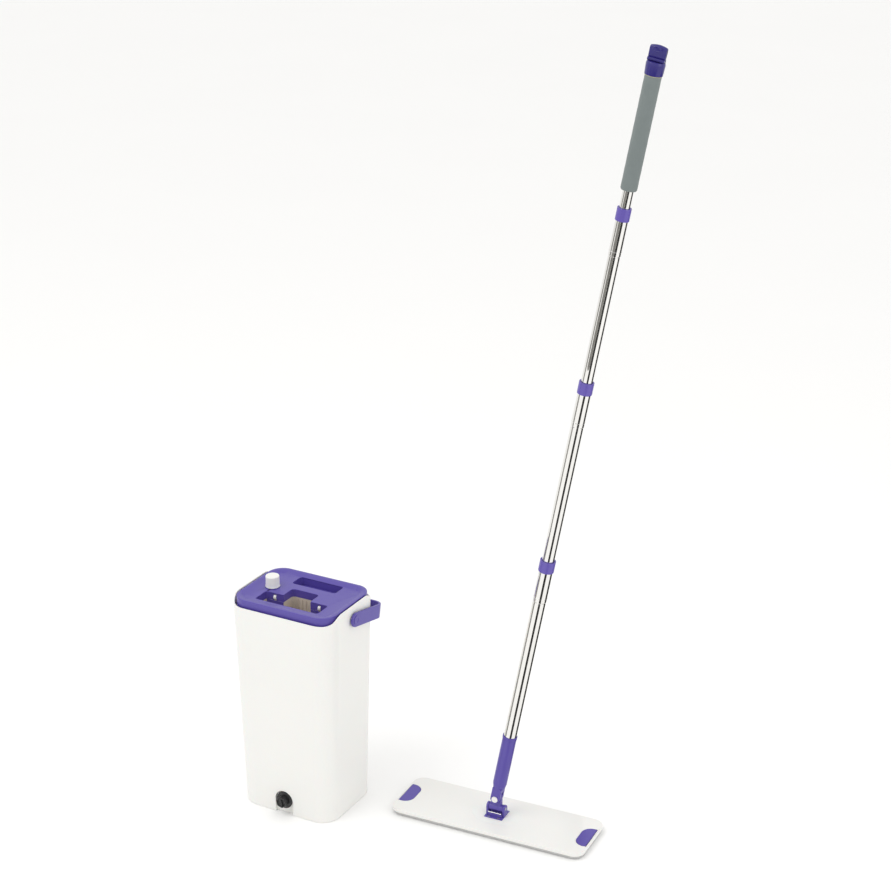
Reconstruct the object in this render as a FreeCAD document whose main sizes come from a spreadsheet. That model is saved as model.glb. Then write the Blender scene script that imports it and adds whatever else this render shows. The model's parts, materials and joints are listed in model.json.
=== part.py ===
"""Flat squeeze mop and bucket set.

A tall two-part bucket with a lift-out wringer insert stands beside a flat mop on a
telescopic pole.  Millimetres.  The origin is the centre of the bucket's base on the
floor, X runs along the bucket's front face to the right, Y to the back, Z up.
"""
import FreeCAD, Part
import math
import operator
import os
import Sketcher

doc = FreeCAD.newDocument("FlatMopSet")
Vector = FreeCAD.Vector

# ------------------------------------------------------------------ driving sizes
SIZES = [
    # bucket
    ("rim_width", 207.0), ("rim_depth", 158.0), ("rim_corner", 34.0),
    ("base_width", 184.0), ("base_depth", 150.0), ("base_corner", 33.0),
    ("side_height", 393.0), ("front_drop", 13.0), ("rim_sweep", 36.0),
    ("rim_flat", 6.0), ("bucket_wall", 2.4), ("floor_gap", 7.0), ("floor_thick", 3.0),
    ("ledge_level", 367.0), ("ledge_thick", 3.0), ("ledge_reach", 5.0),
    # bail handle
    ("bail_pivot_y", -2.0), ("bail_pivot_level", 368.0), ("bail_rest_angle", 12.0),
    ("bail_reach", 92.0), ("bail_band", 25.0), ("bail_thick", 4.4), ("bail_bend", 16.0),
    ("bail_gap", 1.6), ("stud_radius", 5.0), ("stud_inside", 1.4),
    # drain
    ("drain_level", 26.0), ("recess_depth", 5.0), ("recess_half_width", 17.5),
    ("plug_radius", 9.0), ("plug_length", 14.0), ("flange_radius", 15.5),
    ("flange_thick", 3.0), ("gasket_radius", 13.0), ("gasket_thick", 2.0),
    ("drain_knob_radius", 10.5), ("drain_knob_length", 11.0),
    # lid of the wringer insert
    ("lid_gap", 6.0), ("lid_skirt", 22.6), ("lid_plate", 2.4), ("lid_dish", 4.0),
    ("lid_band", 6.0), ("lid_slope", 8.0), ("lid_corner", 28.0), ("lid_wall", 2.2),
    ("slot_front", -50.0), ("slot_gap", 34.0), ("slot_side_play", 3.0),
    ("bump_width", 54.0), ("bump_back", 13.0), ("lining_depth", 14.0),
    ("fill_width", 87.0), ("fill_front", 31.0), ("fill_gap", 29.0), ("fill_depth", 15.0),
    ("fill_offset", 3.0), ("fill_hole_radius", 4.0),
    # wash chute and clean water tank below the lid
    ("chute_wall", 2.0), ("chute_bottom", 150.0), ("chute_flange", 3.0),
    ("rib_pitch", 8.0), ("rib_size", 1.2), ("post_radius", 4.0),
    ("tank_wall", 2.0), ("tank_bottom", 168.0), ("tank_side_play", 5.2),
    ("tank_back_play", 6.0), ("tank_corner", 16.0), ("tank_gap", 1.0), ("tank_front_gap", 2.0),
    # rotary valve
    ("valve_x", -62.0), ("valve_gap", 5.0), ("knob_radius", 12.0), ("knob_height", 20.0),
    ("rod_radius", 4.0), ("disc_radius", 13.0), ("disc_thick", 3.0), ("port_radius", 4.0),
    ("port_reach", 8.0), ("washer_thick", 1.0), ("knob_flare", 0.8), ("knob_edge", 1.5),
    # guide rollers and scraper
    ("roller_radius", 4.5), ("roller_length", 5.0), ("roller_axle_radius", 1.5),
    ("roller_drop", 9.0), ("roller_proud", 2.0),
    ("scraper_drop", 30.0), ("scraper_height", 10.0), ("scraper_reach", 6.0),
    ("screw_radius", 1.5), ("screw_head_radius", 3.2), ("screw_head", 2.0),
    # mop head
    ("head_x", 335.0), ("head_y", 81.0), ("head_yaw", 3.5),
    ("plate_length", 358.0), ("plate_width", 118.0), ("plate_corner", 20.0),
    ("plate_top", 12.5), ("plate_skin", 2.0), ("plate_rim", 2.4), ("pad_thick", 6.0),
    ("pad_gap", 0.3), ("pad_inset", 3.0), ("strip_width", 22.0), ("strip_thick", 1.0),
    ("plate_rib", 1.6), ("plate_rib_pitch", 50.0),
    ("clip_inset", 4.0), ("clip_depth", 22.0), ("clip_length", 57.0),
    ("clip_thick", 3.0), ("clip_pin_radius", 1.0), ("clip_pin_end", 3.0),
    ("screw_inset_x", 8.0), ("screw_inset_y", 3.4),
    # head joint
    ("bracket_length", 34.0), ("bracket_width", 34.0), ("bracket_base", 2.0),
    ("ear_thick", 4.0), ("ear_radius", 7.0), ("axle_level", 27.5), ("axle_radius", 2.5),
    ("yoke_radius", 6.5), ("pin_level", 47.5), ("pin_radius", 3.0), ("tongue_thick", 8.0),
    ("tongue_half_width", 9.0), ("cheek_thick", 5.0), ("cheek_radius", 8.5),
    ("fork_depth", 13.0), ("pin_head_radius", 5.5), ("pin_head", 2.2),
    ("detent_radius", 0.9), ("detent_y", 9.6), ("bracket_wall", 1.6),
    # pole
    ("pole_lean", 10.5), ("socket_wall", 0.7), ("socket_top", 128.5),
    ("socket_bore_bottom", 45.0), ("socket_ledge", 0.5), ("socket_ledge_height", 5.0),
    ("tube_wall", 0.5), ("tube_one_radius", 11.3),
    ("tube_step", 1.0), ("mouth_swell", 0.4), ("mouth_length", 67.0), ("overlap", 95.0),
    ("tube_one_end", 462.0), ("tube_two_end", 782.0), ("tube_three_end", 1069.0),
    ("tube_four_end", 1290.0), ("collar_height", 20.0), ("collar_wall", 1.3),
    ("collet_height", 7.0), ("bush_height", 16.0),
    ("grip_start", 1107.0), ("grip_end", 1283.0), ("grip_radius", 12.7), ("grip_edge", 1.5),
    ("cap_height", 20.0), ("cap_radius", 14.6), ("hook_height", 31.0),
    ("hook_width", 27.0), ("hook_thick", 5.0), ("hook_reach", 11.0), ("hook_lip", 17.0),
    ("swivel_radius", 4.0), ("swivel_length", 12.0),
    # clearances
    ("running_gap", 0.06), ("loose_gap", 0.4), ("side_gap", 0.3), ("seat_gap", 0.2),
]

sheet = doc.addObject("Spreadsheet::Sheet", "Sizes")
for row, (alias, number) in enumerate(SIZES, start=1):
    sheet.set(f"A{row}", alias)
    sheet.set(f"B{row}", str(number))
    sheet.setAlias(f"B{row}", alias)
doc.recompute()

OPERATIONS = {"+": operator.add, "-": operator.sub, "*": operator.mul, "/": operator.truediv}


class Size:
    """A length that holds its number now and the sheet formula that it comes from."""

    def __init__(self, value, formula):
        self.value = float(value)
        self.formula = formula

    def join(self, other, sign, swapped=False):
        first, second = (as_size(other), self) if swapped else (self, as_size(other))
        value = OPERATIONS[sign](first.value, second.value)
        return Size(value, f"({first.formula} {sign} {second.formula})")

    def __add__(self, other):
        return self.join(other, "+")

    def __radd__(self, other):
        return self.join(other, "+", True)

    def __sub__(self, other):
        return self.join(other, "-")

    def __rsub__(self, other):
        return self.join(other, "-", True)

    def __mul__(self, other):
        return self.join(other, "*")

    def __rmul__(self, other):
        return self.join(other, "*", True)

    def __truediv__(self, other):
        return self.join(other, "/")

    def __neg__(self):
        return self.join(-1, "*")


def as_size(thing):
    return thing if isinstance(thing, Size) else Size(thing, f"({float(thing):.6f})")


class Sheet:
    """The sheet's cells by their alias, each as a Size."""

    def __getattr__(self, alias):
        return Size(sheet.get(alias), f"Sizes.{alias}")


S = Sheet()


def bind(thing, path, size):
    """Set one number of an object and tie it to the sheet."""
    thing.setExpression(path, as_size(size).formula)


def place(thing, x=0, y=0, z=0, yaw=0, pitch=0, roll=0):
    """Give a sub-part its place: turned by yaw, then pitch, then roll, and moved."""
    numbers = [as_size(number).formula for number in (x, y, z, yaw, pitch, roll)]
    move = "; ".join(numbers[:3])
    turn = "; ".join(numbers[3:])
    thing.setExpression("Placement", f"placement(vector({move}); rotation({turn}))")


# ------------------------------------------------------------------ sketch and feature helpers
PLANES = {"XY": "XY_Plane", "XZ": "XZ_Plane", "YZ": "YZ_Plane"}


def new_body(name):
    body = doc.addObject("PartDesign::Body", name)
    body.Label = name
    return body


def new_sketch(body, name, plane="XY", level=0):
    """A sketch on one of the body's own planes, moved along that plane's normal."""
    sketch = body.newObject("Sketcher::SketchObject", name)
    origin_plane = [item for item in body.Origin.OriginFeatures if item.Role == PLANES[plane]][0]
    sketch.AttachmentSupport = (origin_plane, "")
    sketch.MapMode = "FlatFace"
    bind(sketch, "AttachmentOffset.Base.z", level)
    return sketch


def fix(sketch, kind, geometry, point, size):
    """Hold one point at a distance from the sketch's origin."""
    size = as_size(size)
    index = sketch.addConstraint(Sketcher.Constraint(kind, -1, 1, geometry, point, size.value))
    sketch.setExpression(f"Constraints[{index}]", size.formula)


def polygon(sketch, corners):
    """A closed outline with straight sides through corners given as (x, y)."""
    count = len(corners)
    points = [(as_size(x), as_size(y)) for x, y in corners]
    first = sketch.GeometryCount
    for index, (x, y) in enumerate(points):
        next_x, next_y = points[(index + 1) % count]
        start = Vector(x.value, y.value, 0)
        sketch.addGeometry(Part.LineSegment(start, Vector(next_x.value, next_y.value, 0)), False)
    for index, (x, y) in enumerate(points):
        following = first + (index + 1) % count
        sketch.addConstraint(Sketcher.Constraint("Coincident", first + index, 2, following, 1))
        fix(sketch, "DistanceX", first + index, 1, x)
        fix(sketch, "DistanceY", first + index, 1, y)


def rectangle(sketch, left, right, front, back):
    polygon(sketch, [(left, front), (right, front), (right, back), (left, back)])


def rounded_rectangle(sketch, left, right, front, back, radius):
    """A closed outline with four equal round corners."""
    left, right, front, back, radius = [as_size(n) for n in (left, right, front, back, radius)]
    x0, x1, y0, y1, r = left.value, right.value, front.value, back.value, radius.value
    first = sketch.GeometryCount
    sides = [((x0 + r, y0), (x1 - r, y0)), ((x1, y0 + r), (x1, y1 - r)),
             ((x1 - r, y1), (x0 + r, y1)), ((x0, y1 - r), (x0, y0 + r))]
    centres = [(x1 - r, y0 + r), (x1 - r, y1 - r), (x0 + r, y1 - r), (x0 + r, y0 + r)]
    for turn, ((start, end), centre) in enumerate(zip(sides, centres)):
        sketch.addGeometry(Part.LineSegment(Vector(*start, 0), Vector(*end, 0)), False)
        circle = Part.Circle(Vector(*centre, 0), Vector(0, 0, 1), r)
        begin = (turn - 1) * math.pi / 2
        sketch.addGeometry(Part.ArcOfCircle(circle, begin, begin + math.pi / 2), False)
    for step in range(8):
        following = first + (step + 1) % 8
        sketch.addConstraint(Sketcher.Constraint("Tangent", first + step, 2, following, 1))
    for step, kind in enumerate(("Horizontal", "Vertical", "Horizontal", "Vertical")):
        sketch.addConstraint(Sketcher.Constraint(kind, first + 2 * step))
    for step in (3, 5, 7):
        sketch.addConstraint(Sketcher.Constraint("Equal", first + 1, first + step))
    index = sketch.addConstraint(Sketcher.Constraint("Radius", first + 1, radius.value))
    sketch.setExpression(f"Constraints[{index}]", radius.formula)
    fix(sketch, "DistanceY", first, 1, front)
    fix(sketch, "DistanceX", first + 2, 1, right)
    fix(sketch, "DistanceY", first + 4, 1, back)
    fix(sketch, "DistanceX", first + 6, 1, left)


def circle(sketch, x, y, radius):
    x, y, radius = as_size(x), as_size(y), as_size(radius)
    number = sketch.GeometryCount
    sketch.addGeometry(Part.Circle(Vector(x.value, y.value, 0), Vector(0, 0, 1), radius.value), False)
    fix(sketch, "DistanceX", number, 3, x)
    fix(sketch, "DistanceY", number, 3, y)
    index = sketch.addConstraint(Sketcher.Constraint("Radius", number, radius.value))
    sketch.setExpression(f"Constraints[{index}]", radius.formula)


def pad(body, sketch, length, both_sides=False, backwards=False):
    feature = body.newObject("PartDesign::Pad", sketch.Name + "Pad")
    feature.Profile = sketch
    feature.Midplane = both_sides
    feature.Reversed = backwards
    bind(feature, "Length", length)
    body.Tip = feature
    return feature


def pocket(body, sketch, length, both_sides=False, backwards=False):
    feature = body.newObject("PartDesign::Pocket", sketch.Name + "Pocket")
    feature.Profile = sketch
    feature.Midplane = both_sides
    feature.Reversed = backwards
    bind(feature, "Length", length)
    body.Tip = feature
    return feature


def loft(body, sketches, kind="PartDesign::AdditiveLoft"):
    feature = body.newObject(kind, sketches[0].Name + "Loft")
    feature.Profile = sketches[0]
    feature.Sections = sketches[1:]
    feature.Ruled = True
    body.Tip = feature
    return feature


def revolve(body, sketch):
    """Turn a profile drawn in the XZ plane about the body's upright axis."""
    feature = body.newObject("PartDesign::Revolution", sketch.Name + "Turn")
    feature.Profile = sketch
    feature.ReferenceAxis = (sketch, ["V_Axis"])
    feature.Angle = 360
    body.Tip = feature
    return feature


def turned(name, profile):
    """A body of revolution about its own upright axis, from its half section."""
    body = new_body(name)
    sketch = new_sketch(body, name + "_profile", "XZ")
    polygon(sketch, profile)
    revolve(body, sketch)
    return body


def ring(name, inner, outer, bottom, top):
    return turned(name, [(inner, bottom), (outer, bottom), (outer, top), (inner, top)])


def box(name, left, right, front, back, bottom, top):
    """A Part box between six planes, each tied to the sheet."""
    solid = doc.addObject("Part::Box", name)
    bind(solid, "Length", as_size(right) - left)
    bind(solid, "Width", as_size(back) - front)
    bind(solid, "Height", as_size(top) - bottom)
    bind(solid, "Placement.Base.x", left)
    bind(solid, "Placement.Base.y", front)
    bind(solid, "Placement.Base.z", bottom)
    return solid


AXES = {"X": (Vector(0, 1, 0), 90), "Y": (Vector(1, 0, 0), -90), "Z": (Vector(0, 0, 1), 0)}


def rod(name, axis, radius, start, length, x=0, y=0, z=0):
    """A Part cylinder that starts at one place on its axis and runs along it."""
    solid = doc.addObject("Part::Cylinder", name)
    solid.Placement.Rotation = FreeCAD.Rotation(*AXES[axis])
    bind(solid, "Radius", radius)
    bind(solid, "Height", length)
    spot = {"X": as_size(x), "Y": as_size(y), "Z": as_size(z)}
    spot[axis] = spot[axis] + start
    for letter, size in spot.items():
        bind(solid, f"Placement.Base.{letter.lower()}", size)
    return solid


def fuse(name, pieces):
    joined = doc.addObject("Part::MultiFuse", name)
    joined.Label = name
    joined.Shapes = pieces
    return joined


def cut(name, base, tool):
    result = doc.addObject("Part::Cut", name)
    result.Label = name
    result.Base = base
    result.Tool = tool
    return result


NODES = []


def node(thing):
    NODES.append(thing)
    return thing


# ------------------------------------------------------------------ sizes that several pieces share
front_height = S.side_height - S.front_drop
lid_top = S.side_height
lid_half_width = S.rim_width / 2 - S.lid_gap
lid_half_depth = S.rim_depth / 2 - S.lid_gap
lid_floor = lid_top - S.lid_dish
lid_under = lid_floor - S.lid_plate
lid_bottom = lid_top - S.lid_skirt
slot_half = S.plate_width / 2 + S.slot_side_play
slot_back = S.slot_front + S.slot_gap
bump_half = S.bump_width / 2
lining_bottom = lid_floor - S.lining_depth
chute_top = lining_bottom - S.seat_gap
chute_flange_bottom = chute_top - S.chute_flange
tank_top = chute_flange_bottom - S.seat_gap
recess_face = S.base_depth / 2 - S.recess_depth
roller_x = (slot_half + bump_half) / 2
roller_y = slot_back + S.roller_radius - S.roller_proud
roller_z = lid_floor - S.roller_drop
tank_floor_top = S.tank_bottom + S.tank_wall
valve_y = slot_back + S.chute_wall + S.valve_gap + S.disc_radius
socket_radius = S.tube_one_radius + S.socket_wall


def taper(base, rim, level):
    """A bucket size at a level between the base and the rim."""
    return base + (rim - base) * (as_size(level) / S.side_height)


ledge_inset = S.bucket_wall + S.ledge_reach
ledge_half_depth = taper(S.base_depth, S.rim_depth, S.ledge_level) / 2 - ledge_inset
tank_half_width = taper(S.base_width, S.rim_width, S.tank_bottom) / 2 - S.bucket_wall - S.tank_side_play


def bucket_outline(sketch, level, inset):
    half_width = taper(S.base_width, S.rim_width, level) / 2 - inset
    half_depth = taper(S.base_depth, S.rim_depth, level) / 2 - inset
    radius = taper(S.base_corner, S.rim_corner, level) - inset
    rounded_rectangle(sketch, -half_width, half_width, -half_depth, half_depth, radius)


# ------------------------------------------------------------------ bucket
def arch(sketch, half_width, level, bottom):
    """An arched opening: straight sides from the bottom up to a half circle."""
    half_width, level, bottom = as_size(half_width), as_size(level), as_size(bottom)
    w, c, b = half_width.value, level.value, bottom.value
    sketch.addGeometry(Part.LineSegment(Vector(-w, b, 0), Vector(w, b, 0)), False)
    sketch.addGeometry(Part.LineSegment(Vector(w, b, 0), Vector(w, c, 0)), False)
    top = Part.Circle(Vector(0, c, 0), Vector(0, 0, 1), w)
    sketch.addGeometry(Part.ArcOfCircle(top, 0, math.pi), False)
    sketch.addGeometry(Part.LineSegment(Vector(-w, c, 0), Vector(-w, b, 0)), False)
    sketch.addConstraint(Sketcher.Constraint("Coincident", 0, 2, 1, 1))
    sketch.addConstraint(Sketcher.Constraint("Tangent", 1, 2, 2, 1))
    sketch.addConstraint(Sketcher.Constraint("Tangent", 2, 2, 3, 1))
    sketch.addConstraint(Sketcher.Constraint("Coincident", 3, 2, 0, 1))
    sketch.addConstraint(Sketcher.Constraint("Horizontal", 0))
    sketch.addConstraint(Sketcher.Constraint("Vertical", 1))
    fix(sketch, "DistanceX", 0, 1, -half_width)
    fix(sketch, "DistanceY", 0, 1, bottom)
    fix(sketch, "DistanceX", 1, 1, half_width)
    fix(sketch, "DistanceY", 2, 3, level)


def rim_sweep_outline(sketch, side):
    """What the low front (or back) rim leaves out: an S-shaped rise to the side wall."""
    start = as_size(side) * (S.rim_depth / 2 - S.rim_flat)
    end = start - as_size(side) * S.rim_sweep
    outer = as_size(side) * S.rim_depth
    above = S.side_height + S.front_drop
    rise = S.front_drop.value
    run = S.rim_sweep.value
    radius = (run * run + rise * rise) / (4 * rise)
    half_turn = math.asin(run / (2 * radius))
    low, high = front_height.value, S.side_height.value
    first_circle = Part.Circle(Vector(start.value, low + radius, 0), Vector(0, 0, 1), radius)
    second_circle = Part.Circle(Vector(end.value, high - radius, 0), Vector(0, 0, 1), radius)
    down, up = -math.pi / 2, math.pi / 2
    if side > 0:
        first_arc = Part.ArcOfCircle(first_circle, down - half_turn, down)
        second_arc = Part.ArcOfCircle(second_circle, up - half_turn, up)
    else:
        first_arc = Part.ArcOfCircle(first_circle, down, down + half_turn)
        second_arc = Part.ArcOfCircle(second_circle, up, up + half_turn)
    near, far = (2, 1) if side > 0 else (1, 2)
    inner, last = (1, 2) if side > 0 else (2, 1)
    points = [(end, S.side_height), (end, above), (outer, above),
              (outer, front_height), (start, front_height)]
    corners = [Vector(x.value, y.value, 0) for x, y in points]
    for corner, next_corner in zip(corners, corners[1:]):
        sketch.addGeometry(Part.LineSegment(corner, next_corner), False)
    sketch.addGeometry(first_arc, False)
    sketch.addGeometry(second_arc, False)
    for step in range(3):
        sketch.addConstraint(Sketcher.Constraint("Coincident", step, 2, step + 1, 1))
    sketch.addConstraint(Sketcher.Constraint("Coincident", 3, 2, 4, near))
    sketch.addConstraint(Sketcher.Constraint("Tangent", 4, far, 5, inner))
    sketch.addConstraint(Sketcher.Constraint("Coincident", 5, last, 0, 1))
    sketch.addConstraint(Sketcher.Constraint("Vertical", 4, 3, 4, near))
    sketch.addConstraint(Sketcher.Constraint("Vertical", 5, 3, 5, last))
    sketch.addConstraint(Sketcher.Constraint("Equal", 4, 5))
    for step, (x, y) in enumerate(points[:4]):
        fix(sketch, "DistanceX", step, 1, x)
        fix(sketch, "DistanceY", step, 1, y)
    fix(sketch, "DistanceX", 3, 2, points[4][0])
    fix(sketch, "DistanceY", 3, 2, points[4][1])


def bucket_shell():
    body = new_body("bucket_shell")
    floor_top = S.floor_gap + S.floor_thick
    outside = [new_sketch(body, "outside_low"), new_sketch(body, "outside_high", "XY", S.side_height)]
    bucket_outline(outside[0], 0, 0)
    bucket_outline(outside[1], S.side_height, 0)
    loft(body, outside)
    inside = [new_sketch(body, "inside_low", "XY", floor_top),
              new_sketch(body, "inside_high", "XY", S.side_height)]
    bucket_outline(inside[0], floor_top, S.bucket_wall)
    bucket_outline(inside[1], S.side_height, S.bucket_wall)
    loft(body, inside, "PartDesign::SubtractiveLoft")
    hollow = new_sketch(body, "foot_hollow")
    bucket_outline(hollow, 0, S.bucket_wall)
    pocket(body, hollow, S.floor_gap, backwards=True)
    ledge = new_sketch(body, "lid_ledge", "XY", S.ledge_level)
    bucket_outline(ledge, S.ledge_level, S.bucket_wall / 2)
    bucket_outline(ledge, S.ledge_level, ledge_inset)
    pad(body, ledge, S.ledge_thick)
    liner = new_sketch(body, "drain_liner", "XZ", recess_face - S.bucket_wall)
    arch(liner, S.recess_half_width + S.bucket_wall, S.drain_level, 0)
    pad(body, liner, S.recess_depth + S.bucket_wall / 2)
    recess = new_sketch(body, "drain_recess", "XZ", recess_face)
    arch(recess, S.recess_half_width, S.drain_level, -S.bucket_wall)
    pocket(body, recess, S.recess_depth * 2, backwards=True)
    spout = new_sketch(body, "drain_hole", "XZ", recess_face)
    circle(spout, 0, S.drain_level, S.plug_radius + S.running_gap)
    pocket(body, spout, S.bucket_wall * 2)
    pivots = new_sketch(body, "bail_holes", "YZ")
    circle(pivots, S.bail_pivot_y, S.bail_pivot_level, S.stud_radius + S.running_gap)
    pocket(body, pivots, S.rim_width * 2, both_sides=True)
    for side, word in ((-1, "front"), (1, "back")):
        sweep = new_sketch(body, word + "_rim_sweep", "YZ")
        rim_sweep_outline(sweep, side)
        pocket(body, sweep, S.rim_width * 2, both_sides=True)
    return body


def bucket_handle():
    """A flat bail that lies back over the rear wall and snaps into the side walls."""
    body = new_body("bucket_handle")
    inner = S.rim_width / 2 + S.bail_gap
    outer = inner + S.bail_thick
    inner_reach = S.bail_reach - S.bail_thick / 2
    outer_reach = S.bail_reach + S.bail_thick / 2
    end = -S.bail_band / 2
    strap = new_sketch(body, "strap")
    rounded_rectangle(strap, -outer, outer, end - S.bail_bend * 2, outer_reach,
                      S.bail_bend + S.bail_thick)
    rounded_rectangle(strap, -inner, inner, end - S.bail_bend, inner_reach, S.bail_bend)
    pad(body, strap, S.bail_band, both_sides=True)
    trim = new_sketch(body, "strap_end")
    rectangle(trim, -S.rim_width, S.rim_width, end - S.bail_reach, end)
    pocket(body, trim, S.bail_band * 2, both_sides=True)
    for side, word in ((-1, "left"), (1, "right")):
        stud = new_sketch(body, word + "_stud", "YZ", inner * side)
        circle(stud, 0, 0, S.stud_radius)
        length = S.bail_gap + S.bucket_wall + S.stud_inside + taper_gap
        pad(body, stud, length, backwards=side > 0)
    doc.recompute()
    round_strap_ends(body, end.value)
    place(body, 0, S.bail_pivot_y, S.bail_pivot_level, 0, 0, -S.bail_rest_angle)
    return body


# The wall leans in below the rim, so the studs reach that much further at the pivot.
taper_gap = (S.rim_width - S.base_width) / 2 * (1 - S.bail_pivot_level / S.side_height)


def round_strap_ends(body, end):
    """Round the strap's two ends to the full width of the band."""
    names = []
    for number, edge in enumerate(body.Shape.Edges, start=1):
        direction = edge.tangentAt(edge.FirstParameter)
        straight = isinstance(edge.Curve, (Part.Line, Part.LineSegment))
        if straight and abs(direction.x) > 0.99 and abs(edge.CenterOfMass.y - end) < 0.01:
            names.append(f"Edge{number}")
    strap = body.Tip
    fillet = body.newObject("PartDesign::Fillet", "strap_end_round")
    fillet.Base = (strap, names)
    bind(fillet, "Radius", S.bail_band * 0.49)
    body.Tip = fillet


# ------------------------------------------------------------------ drain
def drain_gasket():
    body = ring("drain_gasket", S.plug_radius + S.loose_gap, S.gasket_radius, 0, S.gasket_thick)
    place(body, 0, -recess_face, S.drain_level, 0, 0, 90)
    return body


def drain_cap():
    """Plug, flange and a faceted grip, turned about the plug's own axis."""
    body = new_body("drain_cap")
    profile = new_sketch(body, "cap_profile", "XZ")
    flange_back = S.gasket_thick + S.seat_gap
    flange_front = flange_back + S.flange_thick
    polygon(profile, [(0, flange_back - S.plug_length), (S.plug_radius, flange_back - S.plug_length),
                      (S.plug_radius, flange_back), (S.flange_radius, flange_back),
                      (S.flange_radius, flange_front), (0, flange_front)])
    revolve(body, profile)
    grip = new_sketch(body, "cap_grip", "XY", flange_front - S.seat_gap)
    corners = []
    for step in range(6):
        angle = math.radians(60 * step)
        corners.append((S.drain_knob_radius * math.cos(angle), S.drain_knob_radius * math.sin(angle)))
    polygon(grip, corners)
    pad(body, grip, S.drain_knob_length)
    place(body, 0, -recess_face, S.drain_level, 0, 0, 90)
    return body


# ------------------------------------------------------------------ wringer insert
def lid_cover():
    """Dished lid with the T-shaped mop slot, the filling pocket and the valve's hole."""
    body = new_body("lid_cover")
    outline = new_sketch(body, "lid_outline", "XY", lid_bottom)
    rounded_rectangle(outline, -lid_half_width, lid_half_width, -lid_half_depth, lid_half_depth,
                      S.lid_corner)
    pad(body, outline, S.lid_skirt)
    under = new_sketch(body, "lid_underside", "XY", lid_bottom)
    inset = S.lid_wall
    rounded_rectangle(under, -lid_half_width + inset, lid_half_width - inset,
                      -lid_half_depth + inset, lid_half_depth - inset, S.lid_corner - inset)
    pocket(body, under, lid_under - lid_bottom, backwards=True)
    dish = []
    dish_levels = (("dish_low", lid_floor, S.lid_band + S.lid_slope), ("dish_high", lid_top, S.lid_band))
    for word, level, inset in dish_levels:
        sketch = new_sketch(body, word, "XY", level)
        rounded_rectangle(sketch, -lid_half_width + inset, lid_half_width - inset,
                          -lid_half_depth + inset, lid_half_depth - inset, S.lid_corner - inset)
        dish.append(sketch)
    loft(body, dish, "PartDesign::SubtractiveLoft")
    wall = S.lid_wall
    for number, (x, y) in enumerate(post_places):
        post = new_sketch(body, f"post_{number}", "XY", chute_top)
        circle(post, x, y, S.post_radius)
        pad(body, post, lid_under - chute_top + S.lid_plate / 2)
    cut_slot(body, lid_top, lid_top - lid_under)
    fill_slot = new_sketch(body, "fill_mouth", "XY", lid_floor)
    rounded_rectangle(fill_slot, fill_left, fill_right, S.fill_front, fill_back, wall * 2.5)
    pocket(body, fill_slot, S.lid_plate)
    stem = new_sketch(body, "valve_hole", "XY", lid_top)
    circle(stem, S.valve_x, valve_y, S.rod_radius + S.running_gap)
    pocket(body, stem, S.lid_skirt)
    for number, (x, y) in enumerate(post_places):
        bore = new_sketch(body, f"post_bore_{number}", "XY", chute_top)
        circle(bore, x, y, S.screw_radius)
        pocket(body, bore, S.lining_depth / 2, backwards=True)
    return body


def cut_slot(body, top, depth):
    """The T-shaped slot, cut down from a level."""
    wall = S.lid_wall
    wing_slot = new_sketch(body, "wing_slot_" + body.Label, "XY", top)
    rounded_rectangle(wing_slot, -slot_half, slot_half, S.slot_front, slot_back, wall * 2)
    pocket(body, wing_slot, depth)
    bump_slot = new_sketch(body, "bump_slot_" + body.Label, "XY", top)
    rounded_rectangle(bump_slot, -bump_half, bump_half, S.slot_front, S.bump_back, wall * 3)
    pocket(body, bump_slot, depth)


def slot_lining():
    """Walls below the lid around the slot, with a cradle behind them for each guide roller."""
    body = new_body("slot_lining")
    wall = S.lid_wall
    tall = lid_under - lining_bottom
    wings = new_sketch(body, "wing_lining", "XY", lining_bottom)
    rounded_rectangle(wings, -slot_half - wall, slot_half + wall, S.slot_front - wall, slot_back + wall,
                      wall * 2)
    pad(body, wings, tall)
    bump = new_sketch(body, "bump_lining", "XY", lining_bottom)
    rounded_rectangle(bump, -bump_half - wall, bump_half + wall, S.slot_front - wall, S.bump_back + wall,
                      wall * 4)
    pad(body, bump, tall)
    for side, word in ((-1, "left"), (1, "right")):
        cradle = new_sketch(body, word + "_cradle", "XY", lining_bottom)
        near = roller_x - S.roller_length
        far = roller_x + S.roller_length
        edges = (near, far) if side > 0 else (-far, -near)
        rectangle(cradle, edges[0], edges[1], slot_back + wall / 2, roller_y + S.roller_radius)
        pad(body, cradle, tall)
    cut_slot(body, lid_under, tall)
    for side, word in ((-1, "left"), (1, "right")):
        notch = new_sketch(body, word + "_roller_notch", "XY", lid_floor - S.roller_drop / 3)
        half = S.roller_length / 2 + S.side_gap
        middle = roller_x * side
        rectangle(notch, middle - half, middle + half, slot_back - S.roller_proud,
                  roller_y + S.roller_radius + S.side_gap)
        pocket(body, notch, S.lining_depth)
        axle_hole = new_sketch(body, word + "_axle_hole", "YZ", middle)
        circle(axle_hole, roller_y, roller_z, S.roller_axle_radius)
        pocket(body, axle_hole, S.roller_length * 4, both_sides=True)
    return body


fill_left = S.fill_offset - S.fill_width / 2
fill_right = S.fill_offset + S.fill_width / 2
fill_back = S.fill_front + S.fill_gap
fill_bottom = lid_floor - S.fill_depth


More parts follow.
